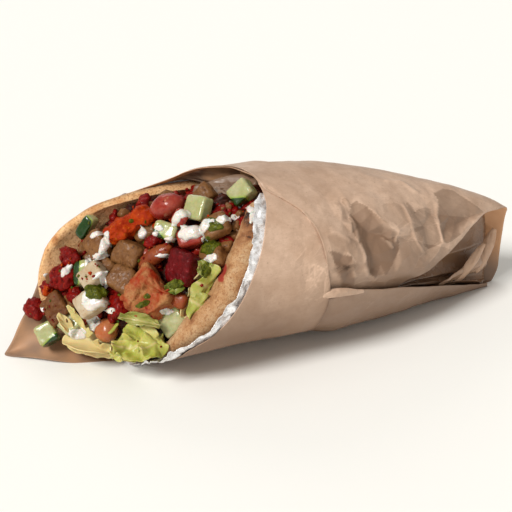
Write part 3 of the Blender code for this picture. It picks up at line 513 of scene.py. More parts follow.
# the large creases over the front: s, ring angle, height
CREASES = (
    (146, 145, 0.8), (150, 146, 1.2), (152, 141, 1.2), (156, 142, 1.4), (160, 138, 1.2), (162, 134, 0.9),
    (166, 126, 0.8), (170, 123, 0.8), (174, 120, 1.0), (168, 152, 0.6), (182, 162, 1.0), (190, 163, 1.4),
    (196, 152, 1.3), (202, 147, 1.2), (208, 152, 1.5), (217, 163, 1.8), (222, 162, 1.8), (228, 153, 1.6),
    (236, 140, 1.3), (240, 136, 0.8), (184, 142, 0.8), (184, 126, 0.9), (179, 140, 0.7), (172, 140, 0.6),
    (152, 134, -1.1), (155, 128, -1.5), (159, 122, -1.6), (166, 119, -1.2), (148, 122, -0.6),
    (151, 117, -0.6), (156, 116, -1.2), (162, 116, -1.0), (158, 106, -1.5), (157, 96, -1.3),
    (163, 100, -0.9), (164, 90, 0.2), (170, 114, -0.6), (174, 117, -0.2), (174, 108, -0.6), (170, 99, -0.6),
    (182, 117, -0.6), (187, 122, -0.4), (194, 124, -1.0), (202, 134, -0.9), (208, 142, 0.3), (204, 122, 0.1),
    (204, 107, 0.3), (214, 132, -1.0), (219, 124, -1.1), (208, 118, -0.9), (228, 130, -0.6), (217, 112, 0.2),
    (194, 104, -0.3), (190, 94, 0.0), (138, 106, -0.7), (142, 96, -0.5), (144, 106, 0.5), (146, 90, 0.3),
    (152, 102, 0.4), (153, 92, 0.3), (140, 90, 0.0), (136, 100, 0.2), (132, 114, 0.4), (134, 120, -0.2),
    (140, 122, 0.2), (142, 114, 0.3), (136, 129, -0.2), (141, 134, -0.3), (144, 130, -0.4), (148, 127, 0.1),
    (170, 90, 0.1), (180, 90, 0.0), (174, 98, 0.2), (180, 102, -0.2), (135, 138, 0.0), (140, 147, 0.2),
    (157, 154, 0.2), (150, 157, 0.1), (150, 168, 0.2), (170, 168, 0.6), (135, 165, 0.0), (205, 172, 0.6),
    (242, 152, 0.8), (252, 160, 0.4), (240, 176, -0.2), (222, 182, 0.1), (190, 182, -0.1), (160, 182, 0.0),
    (130, 182, 0.0), (130, 150, 0.0), (128, 125, 0.0), (128, 105, 0.0), (128, 85, 0.0), (150, 70, 0.2),
    (175, 65, -0.2),
)
# facets of the crumpled front that turn from the light, darkened with painted shade: darkness, then the
# corners as s and ring angle
FACETS = (
    (0.50, ((152, 141), (156, 142), (160, 138), (162, 133), (166, 128), (170, 123), (174, 118), (170, 114),
            (162, 116), (156, 116), (151, 117), (148, 124), (150, 134))),
    (0.45, ((150, 145), (152, 141), (150, 136), (149, 137), (148, 143))),
    (0.45, ((151, 117), (156, 116), (164, 116), (168, 109), (163, 100), (161, 94), (157, 89), (153, 101),
            (152, 110))),
    (0.36, ((164, 116), (174, 117), (174, 108), (170, 99), (164, 90), (162, 100))),
    (0.44, ((207, 152), (216, 160), (221, 160), (236, 139), (238, 136), (226, 121), (217, 112), (210, 107),
            (205, 107), (204, 122), (208, 142))),
    (0.30, ((187, 132), (194, 138), (202, 138), (203, 114), (204, 107), (194, 104), (188, 112), (186, 122))),
    (0.36, ((132, 114), (144, 108), (144, 104), (146, 92), (146, 86), (140, 88), (136, 100))),
    (0.30, ((186, 142), (188, 142), (191, 134), (186, 132))),
    (0.22, ((133, 125), (143, 121), (152, 116), (175, 116), (204, 104), (214, 98), (178, 72), (140, 80),
            (134, 106))),
    (0.20, ((170, 140), (179, 141), (182, 136), (184, 126), (175, 122), (168, 130))),
)
# raised pleats there, also made paler as painted highlight: half width in millimetres, then the line as s and
# ring angle
PLEATS = (
    (1.2, ((150, 144), (150, 136), (151, 128), (151, 118))), (1.4, ((163, 134), (166, 126), (174, 120))),
    (1.2, ((183, 138), (184, 126))), (1.6, ((182, 162), (190, 163), (196, 152))),
    (1.1, ((207, 142), (204, 122), (205, 107))), (2.6, ((218, 114), (238, 132))),
    (1.0, ((144, 104), (146, 94))), (1.1, ((152, 114), (152, 97), (158, 88))),
    (0.9, ((184, 124), (186, 112), (190, 103))), (0.8, ((166, 116), (170, 110))),
    (0.8, ((175, 120), (172, 114))), (1.0, ((134, 124), (140, 123), (145, 118))),
)


def within(corners, s, t):
    """True where s and ring angle lie inside a polygon."""
    found = np.zeros(s.shape, bool)
    for (s1, t1), (s2, t2) in zip(corners, corners[1:] + corners[:1]):
        crossed = (t1 > t) != (t2 > t)
        found ^= crossed & (s < s1 + (t - t1) * (s2 - s1) / (t2 - t1 or 1))
    return found


def from_line(line, s, t):
    """Distance in millimetres from a line of places."""
    best = np.full(s.shape, 99.0)
    for (s1, t1), (s2, t2) in zip(line, line[1:]):
        along = np.array((s2 - s1, (t2 - t1) * DEGREE))
        u = ((s - s1) * along[0] + (t - t1) * DEGREE * along[1]) / (along @ along)
        u = np.clip(u, 0, 1)
        best = np.minimum(best, np.hypot(s - s1 - u * along[0], (t - t1) * DEGREE - u * along[1]))
    return best


def front_facets(s, ring):
    """Painted shade of the front's facets, and the raised pleats between them."""
    flat = np.stack([s, ring * DEGREE, 0 * s], -1)
    s, ring = s + 0.5 * noise(flat, 2.5, 12), ring + 0.7 * noise(flat, 2.5, 13)
    dark = np.zeros(s.shape)
    for darkness, corners in FACETS:
        dark += darkness * within(corners, s, ring)
    pleat = np.zeros(s.shape)
    for wide, line in PLEATS:
        pleat = np.maximum(pleat, bell(from_line(line, s, ring), wide))
    return dark, pleat


def crumple(s, t):
    """Height, crease lines and painted facet shade of the upper sheet at s and unrolled ring angle t, where 0
    is the bottom.
    """
    front = [(cs, ct - 360, h) for cs, ct, h in CREASES]
    edge = [(es, et, 0.0) for es in range(100, 281, 15) for et in (-330, -310)]
    quiet = [(es, et, 0.0) for es in range(100, 281, 15) for et in (-165, 130)]
    rng = random.Random(11)
    back = [(es + rng.uniform(-6, 6), et + rng.uniform(-8, 8), rng.uniform(-0.9, 0.7))
            for es in range(125, 256, 16) for et in range(-150, -10, 20)]
    flap = [(es + rng.uniform(-5, 5), et + rng.uniform(-4, 4), rng.uniform(-0.25, 0.3))
            for es in range(130, 256, 14) for et in range(0, 100, 14)]
    large, line, tone = Folds(front + edge + quiet + back + flap).spread(s, t)
    busy = bell(t + 242, 42) * smooth(124, 146, s)
    middle, middle_line, middle_tone = random_folds((100, 265), (-320, 110), 8.5, 21).spread(s, t)
    fine, fine_line, _ = random_folds((100, 265), (-320, 110), 3.8, 22).spread(s, t, 0.35)
    share, fine_share = 0.14 + 0.34 * busy, 0.03 + 0.08 * busy
    large = np.where(large > 0, 1.1 * large, 2.2 * large)
    total = large + middle * share + fine * fine_share
    fade = smooth(116, 130, s) * (1 - 0.7 * smooth(250, 258, s))
    lines = (np.minimum(0.5 * line, 0.5) + 1.2 * middle_line * share + 1.7 * fine_line * fine_share) * fade
    # painted shade on the facets: low ones darker, high ones paler as painted highlight, with a random share
    facet_shade = (np.clip(-0.7 * tone, -0.5, 1) + 0.22 * middle_tone) * fade * (0.3 + 0.7 * busy)
    return total * fade, np.clip(lines, 0, 1), facet_shade


def painted_low_shade(ring):
    """Painted shade: the paper darker low down, from 0 on top to 0.95 at the bottom, by ring angle."""
    return 0.95 * (1 - between(50, 120, 262, 320, ring))


def wear_of(height):
    """How sharply a grid of heights is creased, from 0 to 1."""
    bend = np.zeros_like(height)
    for axis in (0, 1):
        bend += np.abs(np.roll(height, 1, axis) + np.roll(height, -1, axis) - 2 * height)
    bend[0], bend[-1], bend[:, 0], bend[:, -1] = 0, 0, 0, 0
    return np.clip((bend - 0.12) * 2.4, 0, 1)


# Materials

class Shader:
    """A Principled material and short calls for the nodes that feed it. Places are read in metres."""

    def __init__(self, name, rough=0.6, **values):
        self.material = bpy.data.materials.new(name)
        self.material.use_nodes = True
        self.nodes = self.material.node_tree.nodes
        self.links = self.material.node_tree.links
        self.main = self.nodes["Principled BSDF"]
        self.main.inputs["Roughness"].default_value = rough
        for key, value in values.items():
            self.main.inputs[key.replace("_", " ").title()].default_value = value
        self.place = self.nodes.new("ShaderNodeTexCoord").outputs["Object"]

    def stretched(self, scale):
        """Places scaled along each axis, for a grain with a direction."""
        found = self.nodes.new("ShaderNodeMapping")
        found.inputs["Scale"].default_value = scale
        self.links.new(self.place, found.inputs["Vector"])
        return found.outputs["Vector"]

    def noise(self, size, detail=3, rough=0.55, place=None, bend=0.0):
        """Noise from 0 to 1 with features of about the given size in millimetres."""
        found = self.nodes.new("ShaderNodeTexNoise")
        found.inputs["Scale"].default_value = 1 / (size * MM)
        found.inputs["Detail"].default_value = detail
        found.inputs["Roughness"].default_value = rough
        found.inputs["Distortion"].default_value = bend
        self.links.new(place or self.place, found.inputs["Vector"])
        return found.outputs["Fac"]

    def mark(self, name):
        """A number that the mesh carries for each point."""
        found = self.nodes.new("ShaderNodeAttribute")
        found.attribute_name = name
        return found.outputs["Fac"]

    def ramp(self, source, *stops):
        """Colours or greys at places from 0 to 1."""
        found = self.nodes.new("ShaderNodeValToRGB")
        line = found.color_ramp
        while len(line.elements) < len(stops):
            line.elements.new(0.5)
        for element, (at, colour) in zip(line.elements, stops):
            element.position = at
            element.color = (*colour, 1) if isinstance(colour, tuple) else (colour, colour, colour, 1)
        self.links.new(source, found.inputs["Fac"])
        return found.outputs["Color"]

    def rise(self, source, start, end, most=1.0):
        """A share that goes from 0 to most while the source goes from start to end."""
        return self.ramp(source, (start, 0.0), (end, most))

    def feed(self, socket, source):
        """Links a socket, or sets it to a colour or a number."""
        if isinstance(source, bpy.types.NodeSocket):
            self.links.new(source, socket)
        elif isinstance(source, tuple):
            socket.default_value = (*source, 1)
        else:
            socket.default_value = source

    def mix(self, share, a, b, how="MIX"):
        """Two colours mixed: a where the share is 0, b where it is 1."""
        found = self.nodes.new("ShaderNodeMix")
        found.data_type = "RGBA"
        found.blend_type = how
        self.feed(found.inputs[0], share)
        self.feed(found.inputs[6], a)
        self.feed(found.inputs[7], b)
        return found.outputs[2]

    def sum(self, a, b, how="ADD"):
        """Two numbers put together, added unless another way is named."""
        found = self.nodes.new("ShaderNodeMath")
        found.operation = how
        self.feed(found.inputs[0], a)
        self.feed(found.inputs[1], b)
        return found.outputs[0]

    def bump(self, *sources):
        """Bumps from pairs of a height and its size in millimetres."""
        last = None
        for source, size in sources:
            found = self.nodes.new("ShaderNodeBump")
            found.inputs["Distance"].default_value = size * MM
            found.inputs["Strength"].default_value = 1.0
            self.links.new(source, found.inputs["Height"])
            if last:
                self.links.new(last, found.inputs["Normal"])
            last = found.outputs["Normal"]
        self.links.new(last, self.main.inputs["Normal"])

    def colour(self, source):
        self.feed(self.main.inputs["Base Color"], source)
        return self

    def roughness(self, source, low, high):
        """Roughness from low to high as the source rises."""
        grey = self.ramp(source, (0.3, low), (0.7, high))
        self.links.new(grey, self.main.inputs["Roughness"])


def srgb(r, g, b):
    """A colour given as it shows on a screen, 0 to 255."""
    return tuple(((v / 255 + 0.055) / 1.055) ** 2.4 if v > 10 else v / 255 / 12.92 for v in (r, g, b))


def toned(colour, *factors):
    """A colour with its channels scaled by one factor or by three, and kept under 1."""
    return tuple(min(1.0, v * w) for v, w in zip(colour, factors * (3 // len(factors))))


def paper_material(name, rough, tint=1.0):
    """Plain brown paper: fibres, clouds, grease and pale worn creases, with painted shade in its hollows and
    painted highlights on its raised pleats.
    """
    m = Shader(name, rough)
    base, dark = toned(srgb(216, 184, 159), tint), toned(srgb(194, 160, 134), tint)
    pale = toned(base, 1.25)
    shade_and_grease = m.mark("shade_and_grease")
    fibre = m.noise(0.5, 4, 0.7, m.stretched((0.12, 1, 1)))
    cloud = m.mix(m.rise(m.noise(15, 4), 0.4, 0.68), base, dark)
    cloud = m.mix(m.rise(fibre, 0.45, 0.75, 0.35), cloud, toned(dark, 0.82))
    cloud = m.mix(m.rise(m.noise(1.1, 2, 0.6), 0.63, 0.76, 0.6), cloud, toned(dark, 0.68))
    cloud = m.mix(m.rise(m.noise(4.5, 4, 0.65), 0.46, 0.72, 0.5), cloud, toned(dark, 0.84))
    # the stain colour: grease stains, and on inner faces partly a painted warm glow of light coming through
    # the paper
    cloud = m.mix(m.rise(m.mark("stain"), 0.05, 1.0, 0.85), cloud, srgb(214, 156, 106))
    # painted shade: darker where the mark for shade and grease is high, in hollows, on facets turned from the
    # light, low down and along lapped edges; on the sleeve's inner face that mark is grease
    cloud = m.mix(m.rise(shade_and_grease, 0.0, 1.0), cloud, toned(dark, 0.44, 0.4, 0.36))
    # painted highlight: paler where that mark falls below 0, on raised pleats and high facets
    cloud = m.mix(m.rise(m.sum(shade_and_grease, -1.0, "MULTIPLY"), 0.0, 0.3, 0.35), cloud, pale)
    cloud = m.mix(m.rise(m.mark("wear"), 0.1, 0.8, 0.6), cloud, pale)
    m.colour(cloud)
    m.roughness(m.noise(9, 3), rough - 0.08, rough + 0.1)
    m.bump((m.noise(0.45, 3, 0.6), 0.035), (m.noise(2.6, 3, 0.6), 0.06))
    return m.material


def foil_material():
    """Dull foil with painted reflections: pale and grey patches and brownish specks."""
    m = Shader("foil", 0.24, metallic=0.3)
    # painted reflection: pale and grey patches, with brownish specks
    painted_reflection = m.mix(m.noise(5, 2), (0.95, 0.95, 0.96), (0.8, 0.79, 0.79))
    m.colour(m.mix(m.rise(m.noise(1.3, 3, 0.7), 0.5, 0.66, 0.75), painted_reflection, (0.5, 0.44, 0.39)))
    m.roughness(m.noise(3, 3), 0.14, 0.36)
    m.bump((m.noise(0.9, 2, 0.6), 0.07), (m.noise(2.4, 2, 0.6), 0.2))
    return m.material


def bread_material():
    """Flatbread from pale to charred, with the red sauce's smears, painted light on its shaded back wall and
    painted shade elsewhere.
    """
    m = Shader("bread", 0.78, subsurface_weight=0.08, subsurface_scale=0.003)
    m.main.inputs["Subsurface Radius"].default_value = (1.0, 0.6, 0.35)
    toast = m.sum(m.mark("toast"), m.rise(m.noise(3.2, 5, 0.65), 0.3, 0.75, 0.22))
    colour = m.ramp(
        toast, (0.0, srgb(236, 206, 168)), (0.24, srgb(226, 188, 143)), (0.46, srgb(208, 158, 108)),
        (0.68, srgb(164, 108, 64)), (0.86, srgb(98, 56, 28)), (1.0, srgb(38, 22, 14)))
    colour = m.mix(m.rise(m.noise(1.1, 3, 0.75), 0.5, 0.64, 0.8), colour, srgb(164, 106, 58))
    colour = m.mix(m.rise(m.noise(1.4, 3, 0.6), 0.6, 0.8, 0.35), colour, srgb(240, 220, 188))
    # painted light: the back wall's inner face, which lies in shade, keeps its colour with a warm tint; the
    # rest is darkened as painted shade where it faces the light
    painted_light_wall = m.mix(1.0, colour, (1.0, 0.9, 0.76), "MULTIPLY")
    outside = m.mix(1.0, colour, (0.7, 0.68, 0.66), "MULTIPLY")
    colour = m.mix(m.ramp(m.mark("inside"), (0.0, 1.0), (1.0, 0.0)), painted_light_wall, outside)
    m.colour(m.mix(m.rise(m.mark("stain"), 0.3, 0.6, 0.9), colour, srgb(150, 26, 14)))
    m.bump((m.noise(0.8, 4, 0.7), 0.4), (m.noise(0.35, 2, 0.6), 0.12))
    return m.material


FOOD_TONE = 0.64  # the mouth faces the light


def food_material(name, low, high, fine=0.8, patch=4.0, rough=0.35, bump=0.12, extra=None, soft=0.0, wet=0.0,
                  shine=0.25):
    """Moist food: two colours in patches, a third in specks, with a wet skin. Colours run to 255."""
    low, high = (toned(srgb(*c), FOOD_TONE) for c in (low, high))
    m = Shader(name, rough, subsurface_weight=soft, subsurface_scale=0.002, coat_weight=wet,
               coat_roughness=0.12)
    m.main.inputs["Specular IOR Level"].default_value = shine
    colour = m.mix(m.rise(m.noise(patch, 4, 0.6), 0.36, 0.64), low, high)
    colour = m.mix(m.rise(m.noise(fine, 3, 0.7), 0.4, 0.75, 0.5), colour, toned(low, 0.62))
    if extra:
        speck = m.rise(m.noise(patch * 0.45, 3, 0.6, bend=0.6), 0.6, 0.7, 0.9)
        colour = m.mix(speck, colour, toned(srgb(*extra), FOOD_TONE))
    m.roughness(m.noise(2.2, 3), max(0.1, rough - 0.15), rough + 0.15)
    m.bump((m.noise(fine, 3, 0.65), bump), (m.noise(fine * 3.2, 2), bump * 1.6))
    return m, colour


# kinds of food: two colours, size of the fine grain and of the patches, roughness, bumps, then the colour of
# the specks, softness, wetness and shine
RECIPES = {
    "tomato": ((168, 34, 24), (190, 82, 60), 1.2, 6.0, 0.3, 0.04, (206, 132, 100), 0.15, 0.15, 0.3),
    "tomato_pale": ((206, 116, 66), (214, 142, 92), 1.2, 6.0, 0.25, 0.04, (196, 80, 50), 0.2, 0.2),
    "chicken": ((214, 74, 8), (176, 40, 8), 0.6, 3.0, 0.5, 0.3, (226, 122, 30), 0.0, 0.0, 0.1),
    "chicken_pale": ((186, 58, 22), (206, 148, 92), 0.9, 6.5, 0.42, 0.35, (160, 20, 18), 0.0, 0.0, 0.15),
    "meat_dark": ((118, 66, 28), (144, 92, 48), 0.8, 3.0, 0.45, 0.3, (80, 40, 16), 0.0, 0.0, 0.18),
    "meat": ((132, 84, 42), (160, 110, 62), 0.8, 4.0, 0.45, 0.25, (86, 48, 24), 0.0, 0.08, 0.2),
    "red": ((164, 13, 5), (112, 8, 4), 0.6, 2.0, 0.42, 0.35, (212, 68, 16), 0.0, 0.06, 0.12),
    "beet": ((130, 10, 15), (88, 7, 10), 0.7, 3.4, 0.42, 0.3, (170, 62, 66), 0.0, 0.05, 0.12),
    "pepper": ((172, 86, 40), (146, 56, 28), 1.2, 4.0, 0.36, 0.12, (160, 14, 14), 0.0, 0.15, 0.2),
    "potato": ((230, 212, 180), (214, 182, 140), 0.9, 3.2, 0.5, 0.16, (182, 108, 62), 0.0, 0.0, 0.2),
    "bean": ((196, 150, 108), (214, 176, 136), 1.2, 6.0, 0.3, 0.05, None, 0.0, 0.2),
    "filling": ((84, 32, 16), (48, 18, 10), 0.8, 2.6, 0.45, 0.3, (130, 42, 18), 0.0, 0.1, 0.12),
    "sauce": ((272, 266, 256), (262, 250, 238), 1.6, 6.0, 0.25, 0.04, None, 0.3, 0.3, 0.5),
    "pesto": ((118, 122, 14), (62, 74, 6), 0.5, 1.5, 0.45, 0.4, (170, 166, 60), 0.0, 0.1, 0.15),
}


def build_materials():
    """All materials by name."""
    found = {
        "sleeve": paper_material("sleeve_paper", 0.62),
        "upper": paper_material("upper_paper", 0.46, 0.96),
        # the tail's inner paper is tinted darker: painted shade of the deep pocket it lines
        "inner": paper_material("inner_paper", 0.24, 0.5),
        "lining": paper_material("lining_paper", 0.42, 0.68),
        "strip": paper_material("strip_paper", 0.3, 0.8),
        "foil": foil_material(),
        "bread": bread_material(),
    }
    for key, recipe in RECIPES.items():
        m, colour = food_material(key, *recipe)
        m.colour(colour)
        found[key] = m.material
    m, colour = food_material("cucumber", (212, 210, 156), (196, 198, 128), 1.4, 5.0, 0.25, 0.05,
                              None, 0.3, 0.5)
    rind = m.mix(m.rise(m.mark("skin"), 0.1, 0.5), colour, srgb(138, 160, 62))
    rind = m.mix(m.rise(m.mark("skin"), 0.5, 0.66), rind, srgb(30, 58, 18))
    found["cucumber"] = m.colour(rind).material
    m, colour = food_material("lettuce", (228, 222, 120), (196, 202, 75), 1.6, 7.0, 0.4, 0.08,
                              None, 0.2, 0.12)
    vein = m.mix(m.rise(m.mark("pale"), 0.1, 0.9), colour, srgb(208, 188, 132))
    vein = m.mix(m.rise(m.mark("dark"), 0.1, 0.9), vein, srgb(58, 82, 16))
    found["lettuce"] = m.colour(vein).material
    return found


# Paper

def mouth_sink(s, t):
    """The paper's edge on top of the mouth bends in a little."""
    return 1.7 * (1 - smooth(0, 22, s - around(PAPER_EDGE, t))) * between(165, 195, 236, 250, t)


def build_sleeve(materials):
    """The lower sheet, open at the mouth: it lies over the upper sheet low down and under it higher up."""
    rows, columns = 106, 326
    t = np.linspace(0, 360, columns, endpoint=False)[None, :]
    f = np.linspace(0, 1, rows)[:, None]
    over = upper_on_top(t)
    edge = around(PAPER_EDGE, t)
    seam = np.maximum(around(START, t), edge + 0.6)
    end = seam + 12 * between(106, 120, 318, 330, t)
    s = edge + (end - edge) * f
    side = s - seam
    inset = -lip_step(np.minimum(s, seam - 0.01), t)
    inset = inset + over * (0.3 * smooth(-9, 0, side) + 1.6 * smooth(0, 10, side))
    inset = inset + 0.5 * between(165, 180, 318, 335, t) * smooth(-25, 0, side)
    (wave, wave_line, wave_shade), (middle, middle_line, _), (fine, fine_line, _) = (
        random_folds((-10, 160), (-10, 370), size, seed).spread(s, t, wide)
        for size, seed, wide in ((17, 31, 0.45), (9, 33, 0.45), (4.2, 32, 0.35)))
    busy = bell(t - 105, 18) * smooth(106, 126, s) * smooth(54, 66, t)
    lines = 0.24 * wave_line + 1.9 * fine_line * (0.03 + 0.24 * busy) + middle_line * (0.05 + 0.45 * busy)
    height = 0.22 * wave + fine * (0.02 + 0.2 * busy) + middle * (0.03 + 0.3 * busy)
    height = np.minimum(height * between(0, 20, 340, 358, t), 0.2)
    grid = section(s, t, inset - height + mouth_sink(s, t))
    points, faces = shell(grid, SHEET, wrap=True)
    greasy = smooth(262, 296, t) * np.exp(-(s - edge) / 80)
    # warm inner face over the top and back: partly stain, partly a painted glow of light through the paper;
    # the greasy corner is a real stain
    inner_stain_and_glow = np.clip(0.85 + 0.5 * layers(grid, 14, 3, 5), 0, 1) * between(140, 160, 240, 290, t)
    inner_stain_and_glow = np.maximum(inner_stain_and_glow, smooth(0.1, 0.6, greasy))
    # painted shadow line along the sleeve's end where it lies over the upper sheet
    edge_shade = 0.4 * bell(end - s, 1.2) * (1 - over)
    # painted shade low down and in low facets, an uneven tone, and the painted edge shadow
    shade_and_grease = painted_low_shade(t) + 0.08 * wave_shade + 0.14 * layers(grid, 20, 2, 6) + edge_shade
    # grease on the inner face is a real stain, with a tenth of the painted shade
    grease = greasy * (0.75 + 0.6 * layers(grid, 9, 3, 8)) + 0.1 * shade_and_grease
    marks = {"wear": both(np.clip(lines, 0, 1)), "stain": both(0 * lines, inner_stain_and_glow),
             "shade_and_grease": np.clip(both(shade_and_grease, grease), -0.3, 1)}
    return piece(new_mesh("paper_sleeve", points, faces, marks), materials["sleeve"], ["paper_wrap"])


def upper_on_top(t):
    """1 where the upper sheet covers the sleeve's edge, 0 where the sleeve covers it."""
    t = np.mod(t, 360)
    return smooth(98, 104, t) * (1 - smooth(328, 346, t))


def unrolled_grid(rows, columns):
    """s and unrolled ring angle over the upper sheet, finer over the front."""
    v = np.linspace(0, 1, 400)
    density = 0.7 + 0.9 * np.exp(-((v - 0.83) / 0.13) ** 2) + 0.3 * np.exp(-(v / 0.12) ** 2)
    total = np.cumsum(density)
    total = (total - total[0]) / (total[-1] - total[0])
    v = np.interp(np.linspace(0, 1, columns), total, v)[None, :]
    u = np.linspace(0, 1, rows)[:, None]
    s = 130 + 110 * u + 0 * v
    for _ in range(14):
        t = curve(FLAP, s) - v * (360 + TUCK)
        start = around(START, t) - 13 * (1 - upper_on_top(t)) - 0.4
        s = s + (start + (curve(SHEET_END, t) - start) * u - s) * 0.7
    return s, t


def build_upper(materials):
    """The upper sheet: from its free edge over the front it winds under and round, and is tucked in."""
    s, t = unrolled_grid(138, 345)
    ring = np.mod(t, 360)
    seam = around(START, t)
    side = s - seam
    over = upper_on_top(ring)
    inset = (1 - over) * (0.4 + 0.9 * smooth(2, -12, side)) * (1 - smooth(0, 10, side))
    inset = inset - lip_step(np.maximum(s, seam), t)
    above_line = (t + 360 - curve(FLAP, s)) * DEGREE  # below 0 once the sheet is under its own edge
    tuck = np.where(t < -200, 2.6 * (1 - smooth(1, 12, above_line)), 0.0)
    free = smooth(-30, 20, t) * (side > 2)
    height, lines, facet_shade = crumple(s, t)
    highest = 1.9 - 1.6 * smooth(222, 246, s) * (1 - between(-215, -190, -60, -20, t))
    dark, pleat = front_facets(s, np.where(t < -120, t + 360, -90.0))
    height = np.clip(height + 0.15 * lines + 0.6 * pleat, -7.5, highest) * (1 - 0.55 * bell(side, 9))
    lines = lines * (1 - 0.7 * np.clip(2 * dark, 0, 1)) * (1 - bell(side, 2.5))
    # painted shade on the dark facets, painted highlight on the pleats
    facet_shade = 0.25 * facet_shade + 1.35 * dark * (1 - 0.5 * pleat) - 0.16 * pleat
    grid = section(s, t, inset - height + tuck - 0.25 * free + mouth_sink(s, ring))
    # painted shadow line along the sheet's edge where it lies over the sleeve
    edge_shade = 0.35 * bell(side, 1.0) * over
    # painted shade in hollows, on facets, low down and along the edge, plus an even darkening
    shade_and_grease = 0.2 * smooth(1.0, -5.0, height) + facet_shade + painted_low_shade(ring) + edge_shade + 0.06
    # warm inner face towards the tail's back wall: partly stain, partly a painted glow of light through the
    # paper
    inner_stain_and_glow = 0.15 + 0.8 * smooth(215, 240, s)
    # the sheet unrolls backwards, so its columns are turned round for an outward face
    grid, lines, shade_and_grease, inner_stain_and_glow = (values[:, ::-1] for values in (grid, lines, shade_and_grease, inner_stain_and_glow))
    points, faces = shell(grid, SHEET)
    marks = {"wear": both(lines), "stain": both(0 * lines, inner_stain_and_glow),
             "shade_and_grease": np.clip(both(shade_and_grease), -0.3, 1)}
    return piece(new_mesh("paper_upper", points, faces, marks), materials["upper"])


# the tail's open rim: ring angle counted down from the front, s
TAIL_RIM = ((-40, 240), (-20, 246), (0, 249), (60, 252), (110, 251), (160, 247), (205, 236), (236, 214))


def build_tail(materials):
    """The inner paper that shows in the tail: gathered low in front and fanned out to the back wall."""
    rows, columns = 60, 220
    gather = section(172, 70, 5.0)
    t = np.linspace(40, -236, columns)[None, :]
    rim = section(np.interp(-t, *np.array(TAIL_RIM).T), t, 2.2)[0]
    r = np.linspace(0, 1, rows)[:, None]
    grid = gather + (rim - gather) * r[..., None]
    inward = unit(np.array((-1.0, 0.5, 0.15)))
    grid += inward * (7 * np.sin(math.pi * r) ** 0.8)[..., None]
    turn = np.linspace(0, 1, columns)[None, :]
    phase = turn * 17 + 2.2 * noise(np.stack([turn * 6, 0 * turn, 0 * turn], -1), 1, 3) + 0.9 * r
    ridge = (1 - np.abs(np.sin(phase))) ** 1.1 * (4.4 + 2.6 * noise(grid, 26, 14))
    ridge = ridge * np.sin(math.pi * r ** 0.7) ** 0.6
    rumple = layers(grid, 12, 2, 17) * 1.5 * np.sin(math.pi * r)
    grid -= inward * (ridge + rumple)[..., None]
    points, faces = shell(grid[::-1], SHEET)
    # the pocket's paper: painted shade all over, and the warm stain colour partly as a painted glow of light
    # through it
    some = np.full(len(points), 0.6)
    marks = {"wear": both(0.5 * wear_of(ridge[::-1])), "stain": some, "shade_and_grease": some}
    return piece(new_mesh("paper_tail", points, faces, marks), materials["inner"])


def build_lining(materials):
    """The thin inner paper that hangs down behind the filling at the top of the mouth."""
    rows, columns = 40, 110
    t = np.linspace(150, 232, columns)[None, :]
    f = np.linspace(0, 1, rows)[:, None]
    ends = between(150, 160, 214, 232, t)
    s = around(PAPER_EDGE, t) + 3 + f * (6 + 17 * ends)
    grid = section(s, t, PAPER + 0.6 + f ** 1.3 * 17 * ends)
    height, lines, _ = random_folds((90, 140), (140, 240), 7, 35).spread(s, t)
    rumple = (height * 0.9 + 0.8 * np.sin(f * 16)) * f * (0.3 + ends)
    grid += unit(np.array((-1.0, -0.6, -0.5))) * rumple[..., None]
    points, faces = shell(grid, SHEET / 2)
    # painted shade behind the filling, a little uneven
    marks = {"wear": np.clip(both(lines), 0, 1), "stain": np.full(len(points), 0.9),
             "shade_and_grease": np.clip(0.75 + 0.9 * both(layers(grid, 9, 3, 36)), 0.3, 1)}
    return piece(new_mesh("paper_lining", points, faces, marks), materials["lining"])


# twisted strips of paper: the look, then s, ring angle, depth, width in millimetres and turn in degrees
STRIPS = {
    "paper_twist": ("upper", (
        (127, 85.5, 0.4, 3.0, 5), (133, 86.5, -0.4, 4.0, 10), (140, 85.5, -0.5, 3.4, 16),
        (146, 83.5, -0.2, 2.2, 24), (151, 82, 0.3, 1.2, 30))),
    "paper_gather_1": ("strip", (
        (242, 30, 8, 3, 0), (245, 56, 8, 6.5, 10), (248, 82, 8, 6.5, 20), (250, 103, 7, 5, 30),
        (251, 120, 5, 2, 40))),
    "paper_gather_2": ("strip", (
        (221, 30, 6, 3, 0), (228, 46, 6, 5.5, 10), (232, 66, 6, 5.5, 20), (238, 83, 6, 4, 30),
        (242, 95, 5, 1.5, 40))),
    "paper_gather_3": ("inner", (
        (208, 52, 4, 5, 0), (224, 50, 7, 8, 10), (238, 50, 9, 10, 25), (247, 56, 9, 9, 40))),
}


